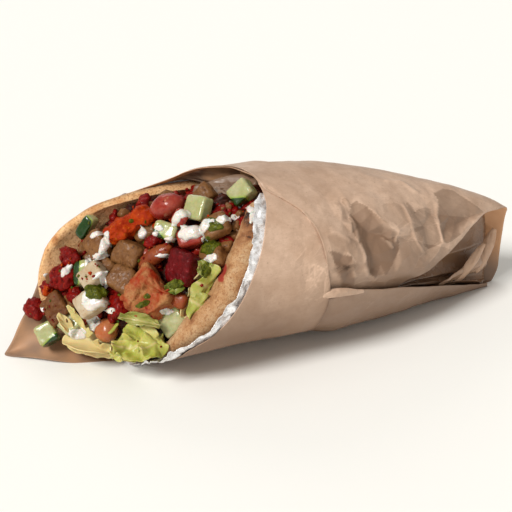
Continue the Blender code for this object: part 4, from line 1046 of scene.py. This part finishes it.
def build_strips(materials):
    """Narrow folded strips, each along a curved line and turning as it goes."""
    rows, columns = 60, 22
    v = np.linspace(-1, 1, columns)[None, :]
    for index, (name, (look, stations)) in enumerate(STRIPS.items()):
        where = np.linspace(0, len(stations) - 1, rows)
        s, t, depth, width, turn = (curve(list(enumerate(values)), where) for values in zip(*stations))
        line = section(s, t, depth)
        ahead = unit(np.gradient(line, axis=0))
        out = unit(section(s, t, depth - 1) - line)
        side = unit(np.cross(ahead, out))
        out = np.cross(side, ahead)
        angle = np.radians(turn)[:, None]
        across = side * np.cos(angle) + out * np.sin(angle)
        up = out * np.cos(angle) - side * np.sin(angle)
        bulge = (1 - v ** 2) * 0.2 + 0.03 * np.abs(np.sin(v * 4 + 3 * where[:, None] / rows * 20 + index))
        grid = line[:, None] + across[:, None] * (v * width[:, None] / 2)[..., None]
        grid = grid + up[:, None] * (bulge * width[:, None])[..., None]
        grid = grid + up[:, None] * (0.5 * layers(grid, 4, 2, 19 + index))[..., None]
        points, faces = shell(grid, SHEET)
        stain = 0 if look == "upper" else 0.3
        marks = {"wear": np.full(len(points), 0.12), "stain": np.full(len(points), stain)}
        piece(new_mesh(name, points, faces, marks), materials[look])


# Foil

def build_foil(materials):
    """Thin foil between bread and paper, sharply crinkled where it shows."""
    rows, columns, reach = 34, 520, 22
    t = np.linspace(0, 360, columns, endpoint=False)[None, :]
    f = np.linspace(0, 1, rows)[:, None] ** 1.6
    ragged = layers(np.stack([t * DEGREE, 0 * t, 0 * t], -1), 5, 3, 41) * 1.3
    s = around(FOIL_EDGE, t) + ragged * (1 - f) + reach * f
    crinkle = random_folds((-20, 170), (-10, 370), 3.6, 42).spread(s, t)[0] * 0.75
    crinkle += random_folds((-20, 170), (-10, 370), 1.9, 43).spread(s, t)[0] * 0.3
    under_paper = s - around(PAPER_EDGE, t)
    free = 1 - smooth(0, 7, under_paper)
    height = (crinkle * (0.25 + 0.75 * free) + 0.25 * free) * between(0, 14, 346, 360, t)
    inset = np.maximum(PAPER + GAP + slack(s) - height, np.where(under_paper > -0.5, SHEET + 0.15, -0.4))
    points, faces = shell(section(s, t, inset), 0.2, wrap=True)
    return piece(new_mesh("foil_band", points, faces), materials["foil"], ["foil_liner"])


# Bread

def build_bread(materials):
    """The flatbread pocket with its rolled lip: pores and toasted blisters are in the mesh."""
    columns, deep, roll = 320, 132, 0.9
    t = np.linspace(0, 360, columns, endpoint=False)
    edge = around(BREAD_EDGE, t)
    lip = around(LIP, t) * (1 + 0.5 * between(40, 70, 132, 152, t))
    skin = PAPER + 2 * GAP + FOIL
    start = edge + roll * lip
    # rows of points up the inside, over the lip and down the outside: s, depth, share of the relief
    rows = []
    for f in np.linspace(1, 0, 84)[:-1]:
        s = start + (deep - start) * f
        rows.append((s, lip + (BREAD_WALL - lip) * smooth(0, 26, s - start), 1))
    for turn in np.linspace(0, math.pi, 20):
        depth = (1 + math.copysign(abs(math.cos(turn)) ** 0.8, math.cos(turn))) / 2
        rows.append((edge + roll * (1 - math.sin(turn)) ** 1.05 * lip, depth * lip, smooth(0.08, 0.4, depth)))
    for f in np.linspace(0, 1, 16)[1:]:
        rows.append((start + (deep - start) * f, 0, 0))
    s, depth, free = (np.array([row[k] + 0 * t for row in rows]) for k in range(3))
    grid = section(s, t[None, :], skin + slack(s) + depth)
    normal = -grid_normals(grid, wrap=True)
    puff = layers(grid, 16, 2, 51) * 0.7
    blister = np.clip(layers(grid, 7, 2, 52), 0, 1) * 1.1
    pore = np.clip(1 - spot_distance(grid, 1.9, 53) / 0.42, 0, 1)
    height = puff + blister - 0.32 * pore + layers(grid, 1.6, 2, 54) * 0.14
    grid = grid + normal * (height * free)[..., None]
    grid[..., 2] = np.maximum(grid[..., 2], PAPER + 0.2)
    # the back wall's inner face, which lies in shade: painted light gives it less toast here and a paler,
    # warmer colour in the material
    inside = free * between(165, 190, 330, 350, t)
    outer_lip = free * between(30, 60, 150, 165, t) * smooth(0.75, 0.2, (slack(s) + depth) / lip)
    toast = 0.14 + 0.42 * np.clip(layers(grid, 9, 3, 55) * 1.6, 0, 1) + 0.3 * blister + 0.096 * pore
    toast = toast * (1 - 0.55 * inside) + 0.25 * outer_lip
    points = grid.reshape(-1, 3)
    faces = grid_faces(len(grid), columns, wrap_rows=True, wrap_columns=True)[:, ::-1]
    marks = {"toast": np.clip(toast.ravel() + spots_on(points, CHAR), 0, 1),
             "stain": np.clip(spots_on(points, SMEAR), 0, 1), "inside": inside}
    return piece(new_mesh("bread_pocket", points, faces, marks), materials["bread"], ["pita"])


# places on the bread as they show in the picture: column, row, radius in millimetres, strength
CHAR = (
    (247, 214, 3.0, 0.8), (248, 226, 3.2, 0.5), (247, 236, 2.2, 0.55), (52, 238, 2.5, 0.4),
    (216, 330, 5, 0.15), (95, 205, 3, 0.25), (120, 198, 2.5, 0.25), (70, 222, 2.5, 0.22), (140, 194, 3, 0.25),
    (235, 245, 4, 0.1),
)
SMEAR = ((221, 272, 2.4, 1.3), (219, 277, 2.0, 1.2), (223, 266, 1.8, 1.1))


def spots_on(points, places):
    """Soft spots round the points of a surface nearest the camera at given places of the picture."""
    total = np.zeros(len(points))
    rel = points - EYE
    for px, py, radius, strength in places:
        way = ray(px, py)
        depth = rel @ way
        off = np.linalg.norm(rel - depth[:, None] * way, axis=1)
        near = off < 1.6
        if not near.any():
            continue
        centre = points[near][np.argmin(depth[near])]
        distance = np.linalg.norm(points - centre, axis=1)
        total += strength * bell(distance, radius) * (1 + 0.6 * noise(points, 1.6, 9))
    return total


# Filling

# where cut cucumber keeps its skin: node, direction in the picture (right, up, towards the camera)
SKIN = {
    "cucumber_1": (-0.1, -1.0, 0.3), "cucumber_3": (-0.5, -0.2, 0.9), "cucumber_4": (-0.7, -0.6, 0.2),
    "cucumber_5": (-0.9, 0.1, 0.2), "cucumber_7": (0.75, -0.75, 0.1),
}
# pieces that look unlike the others of their kind
VARIANTS = {"chicken_2": "chicken_pale", "tomato_4": "tomato_pale", "meat_5": "meat_dark"}
# how many times each kind's form is smoothed, and how far it swells in millimetres
SMOOTHED = {"tomato": 10, "pepper": 8, "bean": 10, "cucumber": 1, "potato": 1, "meat": 1, "beet": 2}
SWOLLEN = {"tomato": 0.7, "pepper": 0.6, "bean": 0.6}
# the torn chicken's lumps: right, up, half width, half height and rise in millimetres
LOBES = ((-1, 6, 5, 3.5, 2.6), (7, 0, 3.5, 5, 2.2), (-5, -4, 4, 4, 2.0), (3, -7, 4, 3, 1.2))


def relief(kind, p):
    """Height of a food's rough surface in millimetres."""
    if kind == "chicken":
        torn = np.abs(noise(p * (0.6, 1.6, 1.6), 3.0, 61))
        broad = np.abs(noise(p * (0.6, 1.3, 1.0), 7.0, 60))
        return 0.9 - 1.4 * torn - 2.2 * broad + 0.5 * layers(p, 1.5, 2, 62) + 2.4 * layers(p, 9, 3, 63)
    if kind == "meat":
        return 0.28 * noise(p * (0.45, 1.6, 1.6), 1.5, 64) + 0.8 * layers(p, 7, 3, 65)
    if kind in ("red", "filling"):
        shreds = np.abs(noise(p * (1.5, 0.6, 1.3), 2.0, 66)) + np.abs(noise(p * (0.6, 1.4, 1.2), 1.7, 69))
        return 0.9 * (0.7 - shreds) + 0.5 * layers(p, 1.1, 2, 67) + 1.7 * layers(p, 5, 2, 68)
    if kind == "beet":
        return 0.3 * noise(p * (0.5, 1.6, 1.6), 1.3, 68) + 0.4 * layers(p, 4, 2, 69)
    if kind in ("tomato", "pepper", "bean"):
        return 0.5 * layers(p, 7, 2, 70)
    return 0.6 * layers(p, 8, 3, 71)


def torn_form(points, centre):
    """The torn chicken: lumps with a groove between them, a raised left side and a spread right side."""
    x, y = (points - centre) @ RIGHT, (points - centre) @ UP
    nearer = -2.2 * bell(y - 3.0 - 0.5 * x + 0.06 * x * x, 1.3)
    for right, up, wide, high, rise in LOBES:
        nearer = nearer + rise * bell(x - right, wide) * bell(y - up, high)
    raised = smooth(0, 6, y) * (2.6 * bell(x + 2, 3.5) - 3.4 * bell(x - 6, 3.5))
    spread = 2.4 * bell(y + 1, 4) * smooth(2, 8, x)
    return points + BACK * nearer[:, None] + UP * raised[:, None] + RIGHT * spread[:, None]


def skin_of(node, offsets):
    """Where a cut piece of cucumber keeps its skin: on the side that looks the given way."""
    if node not in SKIN:
        return np.zeros(len(offsets))
    right, up, near = SKIN[node]
    reach = offsets @ unit(right * RIGHT + up * UP + near * BACK)
    return smooth(0.22, 0.75, reach / reach.max())


# small changes for the picture: wider, taller, then right, up and nearer in millimetres
NUDGES = {
    "cucumber_1": (0.84, 0.84, 0.4, 2.4, 0.5), "cucumber_2": (0.95, 0.9, 0, -0.5, 0),
    "chicken_2": (1.12, 1.1, -0.2, -0.8, 0.5), "chicken_1": (1.1, 0.86, 0.8, -1.8, 0.3),
    "tomato_1": (1.2, 0.85, 0.5, 0, 0), "meat_1": (0.92, 0.92, 1.2, -1.2, 0),
    "potato_1": (0.95, 0.95, 2.2, -1.8, 0.5), "meat_4": (0.95, 0.95, 1.8, 0.3, 0),
    "meat_5": (0.86, 0.95, 0.8, -3.2, 0.3), "red_5": (1.3, 1.4, 0, 0, 0.3),
    "red_2": (1.2, 1.2, -1.5, -0.8, 0.8), "red_3": (1.5, 1.25, 0.4, 0, 0.5),
    "cucumber_7": (0.86, 0.86, 1.8, -1.2, 0), "red_1": (1.15, 1.1, 0, 0, 0),
}


def build_food(node, materials):
    """One piece of food: the node's form, nudged a little, smoothed and given its rough surface."""
    kind = node.rsplit("_", 1)[0]
    points, faces = refined(node, voxel=0.75)
    wide, tall, right, up, near = NUDGES.get(node, (1, 1, 0, 0, 0))
    middle = (points.min(0) + points.max(0)) / 2
    points = points - middle
    points = points * wide + UP * (points @ UP * (tall - wide))[:, None]
    points = points + middle + RIGHT * right + UP * up + BACK * near
    centre = (points.min(0) + points.max(0)) / 2
    points = relax(points, faces, SMOOTHED.get(kind, 4))
    normal = point_normals(points, faces)
    points = points + normal * (SWOLLEN.get(kind, 0.45) + relief(kind, points - centre * 0.37))[:, None]
    if node == "chicken_2":
        points = torn_form(points, centre)
    marks = {"skin": skin_of(node, points - centre)} if kind == "cucumber" else {}
    look = materials[VARIANTS.get(node, kind)]
    return piece(new_mesh("food_" + node, points, faces, marks), look, [node])


# how pale or dark each leaf is
PALE = {"lettuce_1": 0.9, "lettuce_6": 0.75, "lettuce_4": 0.7, "lettuce_5": 0.35, "lettuce_2": 0.15}
DARK = {"lettuce_8": 0.9, "lettuce_11": 0.8, "lettuce_9": 0.35, "lettuce_7": 0.3, "lettuce_10": 0.25}


def build_leaf(node, materials):
    """One leaf of lettuce: the node's form with finer waves and frills."""
    points, faces = refined(node, levels=2)
    waves = 1.3 * drift(points, 9, 1, 95) + 1.1 * drift(points, 6, 2, 81) + 0.4 * drift(points, 2.6, 1, 85)
    points = points + waves
    points[:, 2] = np.maximum(points[:, 2], 0.4)
    pale = np.clip(PALE.get(node, 0) + 0.3 * layers(points, 5, 2, 88), 0, 1)
    dark = np.clip(DARK.get(node, 0) + 0.3 * layers(points, 6, 2, 89) - 0.12, 0, 1)
    mesh = new_mesh("leaf_" + node, points, faces, {"pale": pale, "dark": dark})
    return piece(mesh, materials["lettuce"], [node])


# frilled leaves, placed by the picture: column, row, lift, width, height, turn, tilt about the width and
# about the height in degrees, cup, frill, pale, dark
FRILLS = (
    (140, 346, 1.5, 24, 15, 8, -30, 10, 3.0, 2.6, 0.1, 0.0),
    (127, 350, 2.5, 17, 12, -24, -5, -28, 3.4, 2.2, 0.25, 0.0),
    (155, 344, 2.2, 14, 12, 35, -15, 30, -2.4, 2.2, 0.05, 0.1),
    (116, 340, 1.2, 13, 8, -40, -20, -20, 2.0, 1.6, 0.0, 0.55),
    (90, 345, 2.0, 27, 14, -16, -38, -5, 6.0, 0.45, 0.85, 0.0),
    (67, 325, 1.6, 14, 4, -50, -20, 20, 1.6, 0.7, 0.95, 0.0),
    (140, 321, 1.0, 19, 5, -12, -25, 0, 1.5, 1.2, 0.3, 0.45),
    (203, 278, 2.6, 8, 24, -28, 0, 35, 2.4, 1.2, 0.95, 0.0),
    (193, 300, 2.4, 7, 22, -20, 0, 15, 2.2, 1.0, 0.95, 0.0),
    (207, 287, 1.6, 9, 22, -34, 10, 45, -2.6, 1.5, 0.1, 0.2),
    (200, 306, 1.2, 8, 14, -35, 10, 30, -2.0, 1.3, 0.1, 0.3),
    (176, 287, 1.6, 9, 6, 20, -10, 10, 1.6, 1.3, 0.0, 0.75),
    (205, 268, 1.4, 7, 8, 0, 0, 20, 1.2, 1.4, 0.1, 0.55),
)


def build_frills(heap, materials):
    """Thin lettuce leaves with waved edges, one mesh."""
    side = np.linspace(-1, 1, 40)
    u, v = np.meshgrid(side, side, indexing="ij")
    x, y = u * np.sqrt(1 - v * v / 2), v * np.sqrt(1 - u * u / 2)
    reach, angle = np.hypot(x, y), np.arctan2(y, x)
    flat = np.stack([x, y, 0 * x], -1)
    parts, pales, darks = [], [], []
    for index, (px, py, lift, wide, high, *turns, cup, frill, pale, dark) in enumerate(FRILLS):
        found = heap.hit(EYE, ray(px, py))
        if not found:
            continue
        z_turn, x_turn, y_turn = (Matrix.Rotation(math.radians(a), 3, axis) for a, axis in zip(turns, "ZXY"))
        turned = np.array(z_turn @ x_turn @ y_turn)
        uneven = 1 + 0.16 * noise(flat + index * 5.1, 0.7, 200 + index)
        phase = angle * 5 + 2.4 * noise(flat + index * 3.7, 0.8, 210 + index)
        local = flat * uneven[..., None] * (wide / 2, high / 2, 1)
        wave = frill * reach ** 2.2 * np.sin(phase) + 0.5 * frill * layers(local, 6, 2, 220 + index)
        local[..., 2] = cup * (x * x if wide < high else y * y) + wave
        local += 0.35 * frill * drift(local, 5, 2, 230 + index)
        grid = found[0] + (local @ turned.T) @ np.array([RIGHT, UP, BACK]) + lift * unit(BACK + OUT)
        grid[..., 2] = np.maximum(grid[..., 2], 0.6)
        parts.append(shell(grid, LEAF))
        rib = bell(y, 0.09) * 0.6 + 0.35 * np.abs(np.sin(phase * 1.5)) ** 8 * reach
        pales.append(both(pale + rib + 0.2 * layers(local, 5, 2, 240)))
        darks.append(both(dark * (0.4 + 0.6 * reach) + 0.15 * layers(local, 4, 2, 241)))
    marks = {"pale": np.clip(np.concatenate(pales), 0, 1), "dark": np.clip(np.concatenate(darks), 0, 1)}
    return piece(new_mesh("leaf_frills", *joined(parts), marks), materials["lettuce"])


def build_bed(materials):
    """The minced filling under and between the larger pieces."""
    points, faces = refined("filling_bed", voxel=1.0)
    points = relax(points, faces, 3)
    normal = point_normals(points, faces)
    points = points + normal * (0.35 + relief("filling", points))[:, None]
    return piece(new_mesh("filling_crumble", points, faces), materials["filling"], ["filling_bed"])


# Small things scattered over the heap

class Heap:
    """The surfaces that small things can lie on, for rays from outside."""

    def __init__(self, objects):
        parts = [evaluated(obj) for obj in objects]
        self.owners = [obj.name for obj, (_, faces) in zip(objects, parts) for _ in faces]
        points, faces = joined(parts)
        self.tree = BVHTree.FromPolygons([tuple(p) for p in points], [tuple(f) for f in faces.tolist()])

    def hit(self, start, way):
        """The place, the normal and the owner of the first surface that a ray meets, or None."""
        place, normal, index, _ = self.tree.ray_cast(Vector(start), Vector(way))
        if place is None:
            return None
        return np.array(place), np.array(normal), self.owners[index]


def ball(levels):
    """Points and triangles of a unit ball."""
    bm = bmesh.new()
    bmesh.ops.create_icosphere(bm, subdivisions=levels, radius=1.0)
    points = np.array([v.co[:] for v in bm.verts])
    faces = np.array([[v.index for v in f.verts] for f in bm.faces])
    bm.free()
    return points, faces


def lumps(name, places, levels, square, rough, seed, materials, kind):
    """One mesh of small lumps. Places: centre, outward direction and three sizes. Square makes them boxy."""
    unit_points, unit_faces = ball(levels)
    rng = np.random.default_rng(seed)
    parts = []
    for centre, outward, size in places:
        right = unit(np.cross(outward, rng.normal(size=3)))
        ahead = np.cross(outward, right)
        p = unit_points
        if square:
            p = p / (np.abs(p) ** 5).sum(1)[:, None] ** 0.2 * 0.88
        p = p * (1 + rough * layers(unit_points + rng.uniform(0, 90, 3), 1.1, 3, seed))[:, None]
        parts.append((centre + (p * np.array(size) / 2) @ np.array([right, ahead, outward]), unit_faces))
    return piece(new_mesh(name, *joined(parts)), materials[kind])


# pieces that have crumbs of the red spice on them
CRUMBED = {"food_pepper_1", "food_meat_5", "food_potato_1"} | {"food_red_%d" % k for k in range(1, 10)}
TRIES = 2600  # rays sent at the heap, of which only some leave a piece
FIELD = ((-58, 62), (-42, 36))  # where the rays start, along the heap and across it
ABOVE = 34.0  # how far over the heap they start
MOST_DICE = 150


def scatter_bits(heap, materials):
    """Small dice and crumbs between and on the larger pieces."""
    rng = np.random.default_rng(5)
    dice = {"meat": [], "red": [], "tomato": [], "chicken": []}
    crumbs = {"red": [], "meat": [], "chicken": [], "pesto": []}
    for _ in range(TRIES):
        a, b = rng.uniform(*FIELD[0]), rng.uniform(*FIELD[1])
        found = heap.hit(HEAP + a * ALONG + b * ACROSS + ABOVE * OUT, -OUT)
        if not found:
            continue
        place, normal, owner = found
        column, row = seen(place)
        if column > 196 and row < 202:  # the dark gap under the mouth's top stays free
            continue
        if owner == "filling_crumble":
            kind = rng.choice(list(dice), p=[0.34, 0.4, 0.1, 0.16])
            if sum(len(v) for v in dice.values()) < MOST_DICE and rng.random() < 0.35:
                size = rng.uniform(3.2, 6.2) * rng.uniform(0.75, 1.2, 3)
                dice[kind].append((place + OUT * 0.6, unit(normal + rng.normal(size=3) * 0.3), size))
                continue
        share = 0.8 if owner == "filling_crumble" else 0.25 if owner in CRUMBED else 0.012
        if owner not in ("bread_pocket", "paper_lining") and rng.random() < share:
            kind = rng.choice(list(crumbs), p=[0.5, 0.2, 0.18, 0.12])
            size = rng.uniform(0.5, 1.7) * rng.uniform(0.5, 1.3, 3)
            crumbs[kind].append((place + normal * 0.15, normal, size))
    for kind, places in dice.items():
        rough = 0.2 if kind in ("meat", "tomato") else 0.75
        lumps("dice_" + kind, places, 3, True, rough, 6, materials, kind)
    for kind, places in crumbs.items():
        lumps("crumbs_" + kind, places, 2, False, 0.9, 7, materials, kind)


# sauce, seen in the picture: column, row, half width and half height in millimetres, thickness, turn
SAUCE = (
    (240, 210, 4.5, 1.6, 0.7, 35), (250, 209, 3.0, 1.4, 0.6, -20), (236, 216, 2.6, 1.8, 0.8, 60),
    (252, 217, 1.4, 2.6, 0.6, 0), (190, 232, 6.8, 4.2, 2.2, 15), (204, 226, 5.0, 3.0, 1.6, 40),
    (176, 218, 2.2, 4.2, 1.0, -35), (182, 213, 3.0, 2.0, 1.0, 0), (92, 304, 6.0, 2.6, 1.6, 10),
    (86, 298, 2.4, 3.0, 1.2, 0), (104, 244, 2.4, 5.5, 1.3, -15), (99, 256, 4.0, 1.8, 1.0, 10),
    (96, 234, 3.2, 1.6, 0.9, 20), (210, 222, 3.4, 1.8, 1.2, 0), (205, 240, 2.0, 1.6, 1.0, 0),
    (159, 228, 2.2, 1.3, 0.9, 10), (142, 233, 2.4, 2.8, 1.2, 0), (168, 240, 3.0, 1.6, 1.2, 20),
    (155, 234, 1.6, 1.2, 0.8, 0), (48, 286, 2.0, 1.5, 0.9, 0), (48, 276, 1.5, 1.2, 0.7, 0),
    (95, 324, 4.2, 3.2, 1.0, 20), (80, 334, 4.5, 2.6, 0.8, 10), (167, 312, 3.0, 1.6, 0.9, 0),
    (211, 258, 3.2, 2.2, 1.0, 0), (110, 311, 3.2, 1.6, 0.9, 0), (222, 219, 3.6, 2.0, 1.0, 10),
    (98, 275, 3.4, 1.2, 0.5, 30), (104, 282, 1.6, 3.2, 0.5, 0), (66, 270, 2.0, 3.6, 0.8, -30),
    (163, 256, 3.2, 1.2, 0.7, 0), (88, 262, 1.8, 2.8, 0.8, 0), (42, 310, 1.6, 1.2, 0.6, 0),
)
PESTO = (
    (213, 224, 4.4, 3.4, 1.0, -20), (209, 246, 5.0, 3.8, 1.1, 10), (94, 293, 5.2, 3.6, 1.5, 0),
    (103, 290, 2.4, 2.0, 1.0, 0), (176, 284, 3.6, 2.4, 1.0, 20), (143, 304, 3.6, 1.6, 0.5, 20),
    (131, 221, 1.2, 1.0, 0.4, 0), (146, 296, 1.8, 1.2, 0.5, 0), (206, 270, 2.2, 3.0, 0.8, 0),
)


def draped(heap, place, seed, texture):
    """A soft blob laid over whatever is under one place of the picture."""
    px, py, half_wide, half_high, thick, turn = place
    found = heap.hit(EYE, ray(px, py))
    if not found:
        return None
    centre, normal, _ = found
    outward = unit(OUT + 0.6 * BACK + 0.5 * normal)
    right = unit(np.cross(UP, outward))
    up = np.cross(outward, right)
    cos, sin = math.cos(math.radians(turn)), math.sin(math.radians(turn))
    right, up = right * cos + up * sin, up * cos - right * sin
    rings, spokes, lowest = 10, 36, -3.5
    angle = np.linspace(0, 2 * math.pi, spokes, endpoint=False)
    edge = 1 + 0.28 * noise(np.stack([np.cos(angle), np.sin(angle), 0 * angle + seed * 7.3], -1), 0.55, seed)
    r = np.linspace(0, 1, rings + 1)[:, None]
    flat = centre + (r * edge * half_wide * np.cos(angle))[..., None] * right
    flat = flat + (r * edge * half_high * np.sin(angle))[..., None] * up
    base = np.full((rings + 1, spokes), lowest)
    for i in range(rings + 1):
        for j in range(spokes):
            hit = heap.hit(flat[i, j] + outward * 6, -outward)
            if hit:
                base[i, j] = max(lowest, (hit[0] - flat[i, j]) @ outward)
    lift = base
    for _ in range(3):
        soft = lift.copy()
        soft[1:-1] = (lift[:-2] + lift[2:] + np.roll(lift, 1, 1)[1:-1] + np.roll(lift, -1, 1)[1:-1]) / 4
        lift = np.maximum(lift, lift * 0.4 + soft * 0.6)
    dome = thick * np.sqrt(np.clip(1 - r ** 2.4, 0, 1))
    rough = texture * layers(flat, 1.5, 2, 91 + seed) * np.clip(dome, 0, 1)
    top = flat + outward * (lift + dome + rough)[..., None]
    low = flat + outward * (np.minimum(base, lift) - 0.9)[..., None]
    low[-1] = top[-1] - outward * 0.35
    points = np.concatenate([top[:1, 0], top[1:].reshape(-1, 3), low[1:].reshape(-1, 3), low[:1, 0]])
    faces = []
    count = rings * spokes
    for j in range(spokes):
        k = (j + 1) % spokes
        faces.append((0, 1 + j, 1 + k))
        faces.append((1 + 2 * count, 1 + count + k, 1 + count + j))
        for i in range(rings - 1):
            a, b = 1 + i * spokes, 1 + (i + 1) * spokes
            faces += [(a + j, b + j, b + k), (a + j, b + k, a + k)]
            a, b = a + count, b + count
            faces += [(a + j, b + k, b + j), (a + j, a + k, b + k)]
        a = 1 + (rings - 1) * spokes
        faces += [(a + j, a + j + count, a + k + count), (a + j, a + k + count, a + k)]
    return points, np.array(faces)


# crumpled brown lining seen behind the filling, placed as the sauces are
LINING = (
    (226, 187, 13.0, 7.5, 0.7, 12), (204, 190, 10.0, 5.5, 0.6, 20), (246, 198, 7.0, 6.0, 0.6, 0),
)


def build_blobs(name, heap, places, texture, materials, kind):
    """One mesh of soft blobs laid over the heap."""
    made = [draped(heap, place, seed, texture) for seed, place in enumerate(places)]
    points, faces = joined([part for part in made if part])
    lining = kind == "lining"
    # the lining blobs are darkened with painted shade
    marks = {"stain": np.full(len(points), 0.9), "shade_and_grease": np.full(len(points), 0.95)} if lining else {}
    return piece(new_mesh(name, points, faces, marks), materials[kind])


# Stage

# name, direction that it comes from, strength, angular size in degrees, colour
LIGHTS = (
    ("key", (-0.7, -0.24, 0.67), 3.0, 20, (1.0, 0.985, 0.96)),
    ("rim", (0.1, 0.8, 0.55), 0.4, 30, (1.0, 0.95, 0.88)),
    ("fill", (-0.4, -0.9, 0.14), 0.42, 60, (1.0, 0.96, 0.9)),
)


def build_stage():
    """The camera of the photograph, a plain floor, three suns and a pale sky."""
    camera = bpy.data.objects.new("camera", bpy.data.cameras.new("camera"))
    bpy.context.scene.collection.objects.link(camera)
    camera.data.sensor_width = 36
    camera.data.lens = FOCAL / PICTURE * camera.data.sensor_width
    turn = Matrix((RIGHT, UP, BACK)).transposed().to_4x4()
    turn.translation = (EYE - (HALF, 0, 0)) * MM
    camera.matrix_world = turn
    bpy.context.scene.camera = camera

    bm = bmesh.new()
    bmesh.ops.create_grid(bm, x_segments=2, y_segments=2, size=6)
    mesh = bpy.data.meshes.new("floor")
    bm.to_mesh(mesh)
    bm.free()
    m = Shader("floor", 0.9)
    m.colour(m.mix(m.noise(800, 2), (0.93, 0.92, 0.885), (0.95, 0.94, 0.9)))
    mesh.materials.append(m.material)
    floor = bpy.data.objects.new("floor", mesh)
    bpy.context.scene.collection.objects.link(floor)

    world = bpy.data.worlds.new("world")
    world.use_nodes = True
    background = world.node_tree.nodes["Background"]
    background.inputs["Color"].default_value = (1.0, 0.985, 0.95, 1)
    background.inputs["Strength"].default_value = 0.36
    bpy.context.scene.world = world
    for name, way, power, spread, colour in LIGHTS:
        light = bpy.data.lights.new(name, "SUN")
        light.energy = power
        light.angle = math.radians(spread)
        light.color = colour
        made = bpy.data.objects.new(name, light)
        made.rotation_mode = "QUATERNION"
        made.rotation_quaternion = (-Vector(way)).to_track_quat("-Z", "Y")
        bpy.context.scene.collection.objects.link(made)
    bpy.context.scene.view_settings.view_transform = "Standard"


def main():
    materials = build_materials()
    build_stage()
    build_sleeve(materials)
    build_upper(materials)
    build_tail(materials)
    build_strips(materials)
    lining = build_lining(materials)
    build_foil(materials)
    bread = build_bread(materials)
    bed = build_bed(materials)
    foods = []
    for node in sorted(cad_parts):
        if node.startswith("lettuce"):
            foods.append(build_leaf(node, materials))
        elif node not in ("paper_wrap", "foil_liner", "pita", "filling_bed"):
            foods.append(build_food(node, materials))
    heap = Heap(foods + [bed, bread])
    heap = Heap(foods + [bed, bread, lining, build_frills(heap, materials)])
    scatter_bits(heap, materials)
    build_blobs("paper_inside", Heap([bed, lining]), LINING, 1.6, materials, "lining")
    build_blobs("sauce_white", heap, SAUCE, 0.25, materials, "sauce")
    build_blobs("sauce_green", heap, PESTO, 0.7, materials, "pesto")


main()
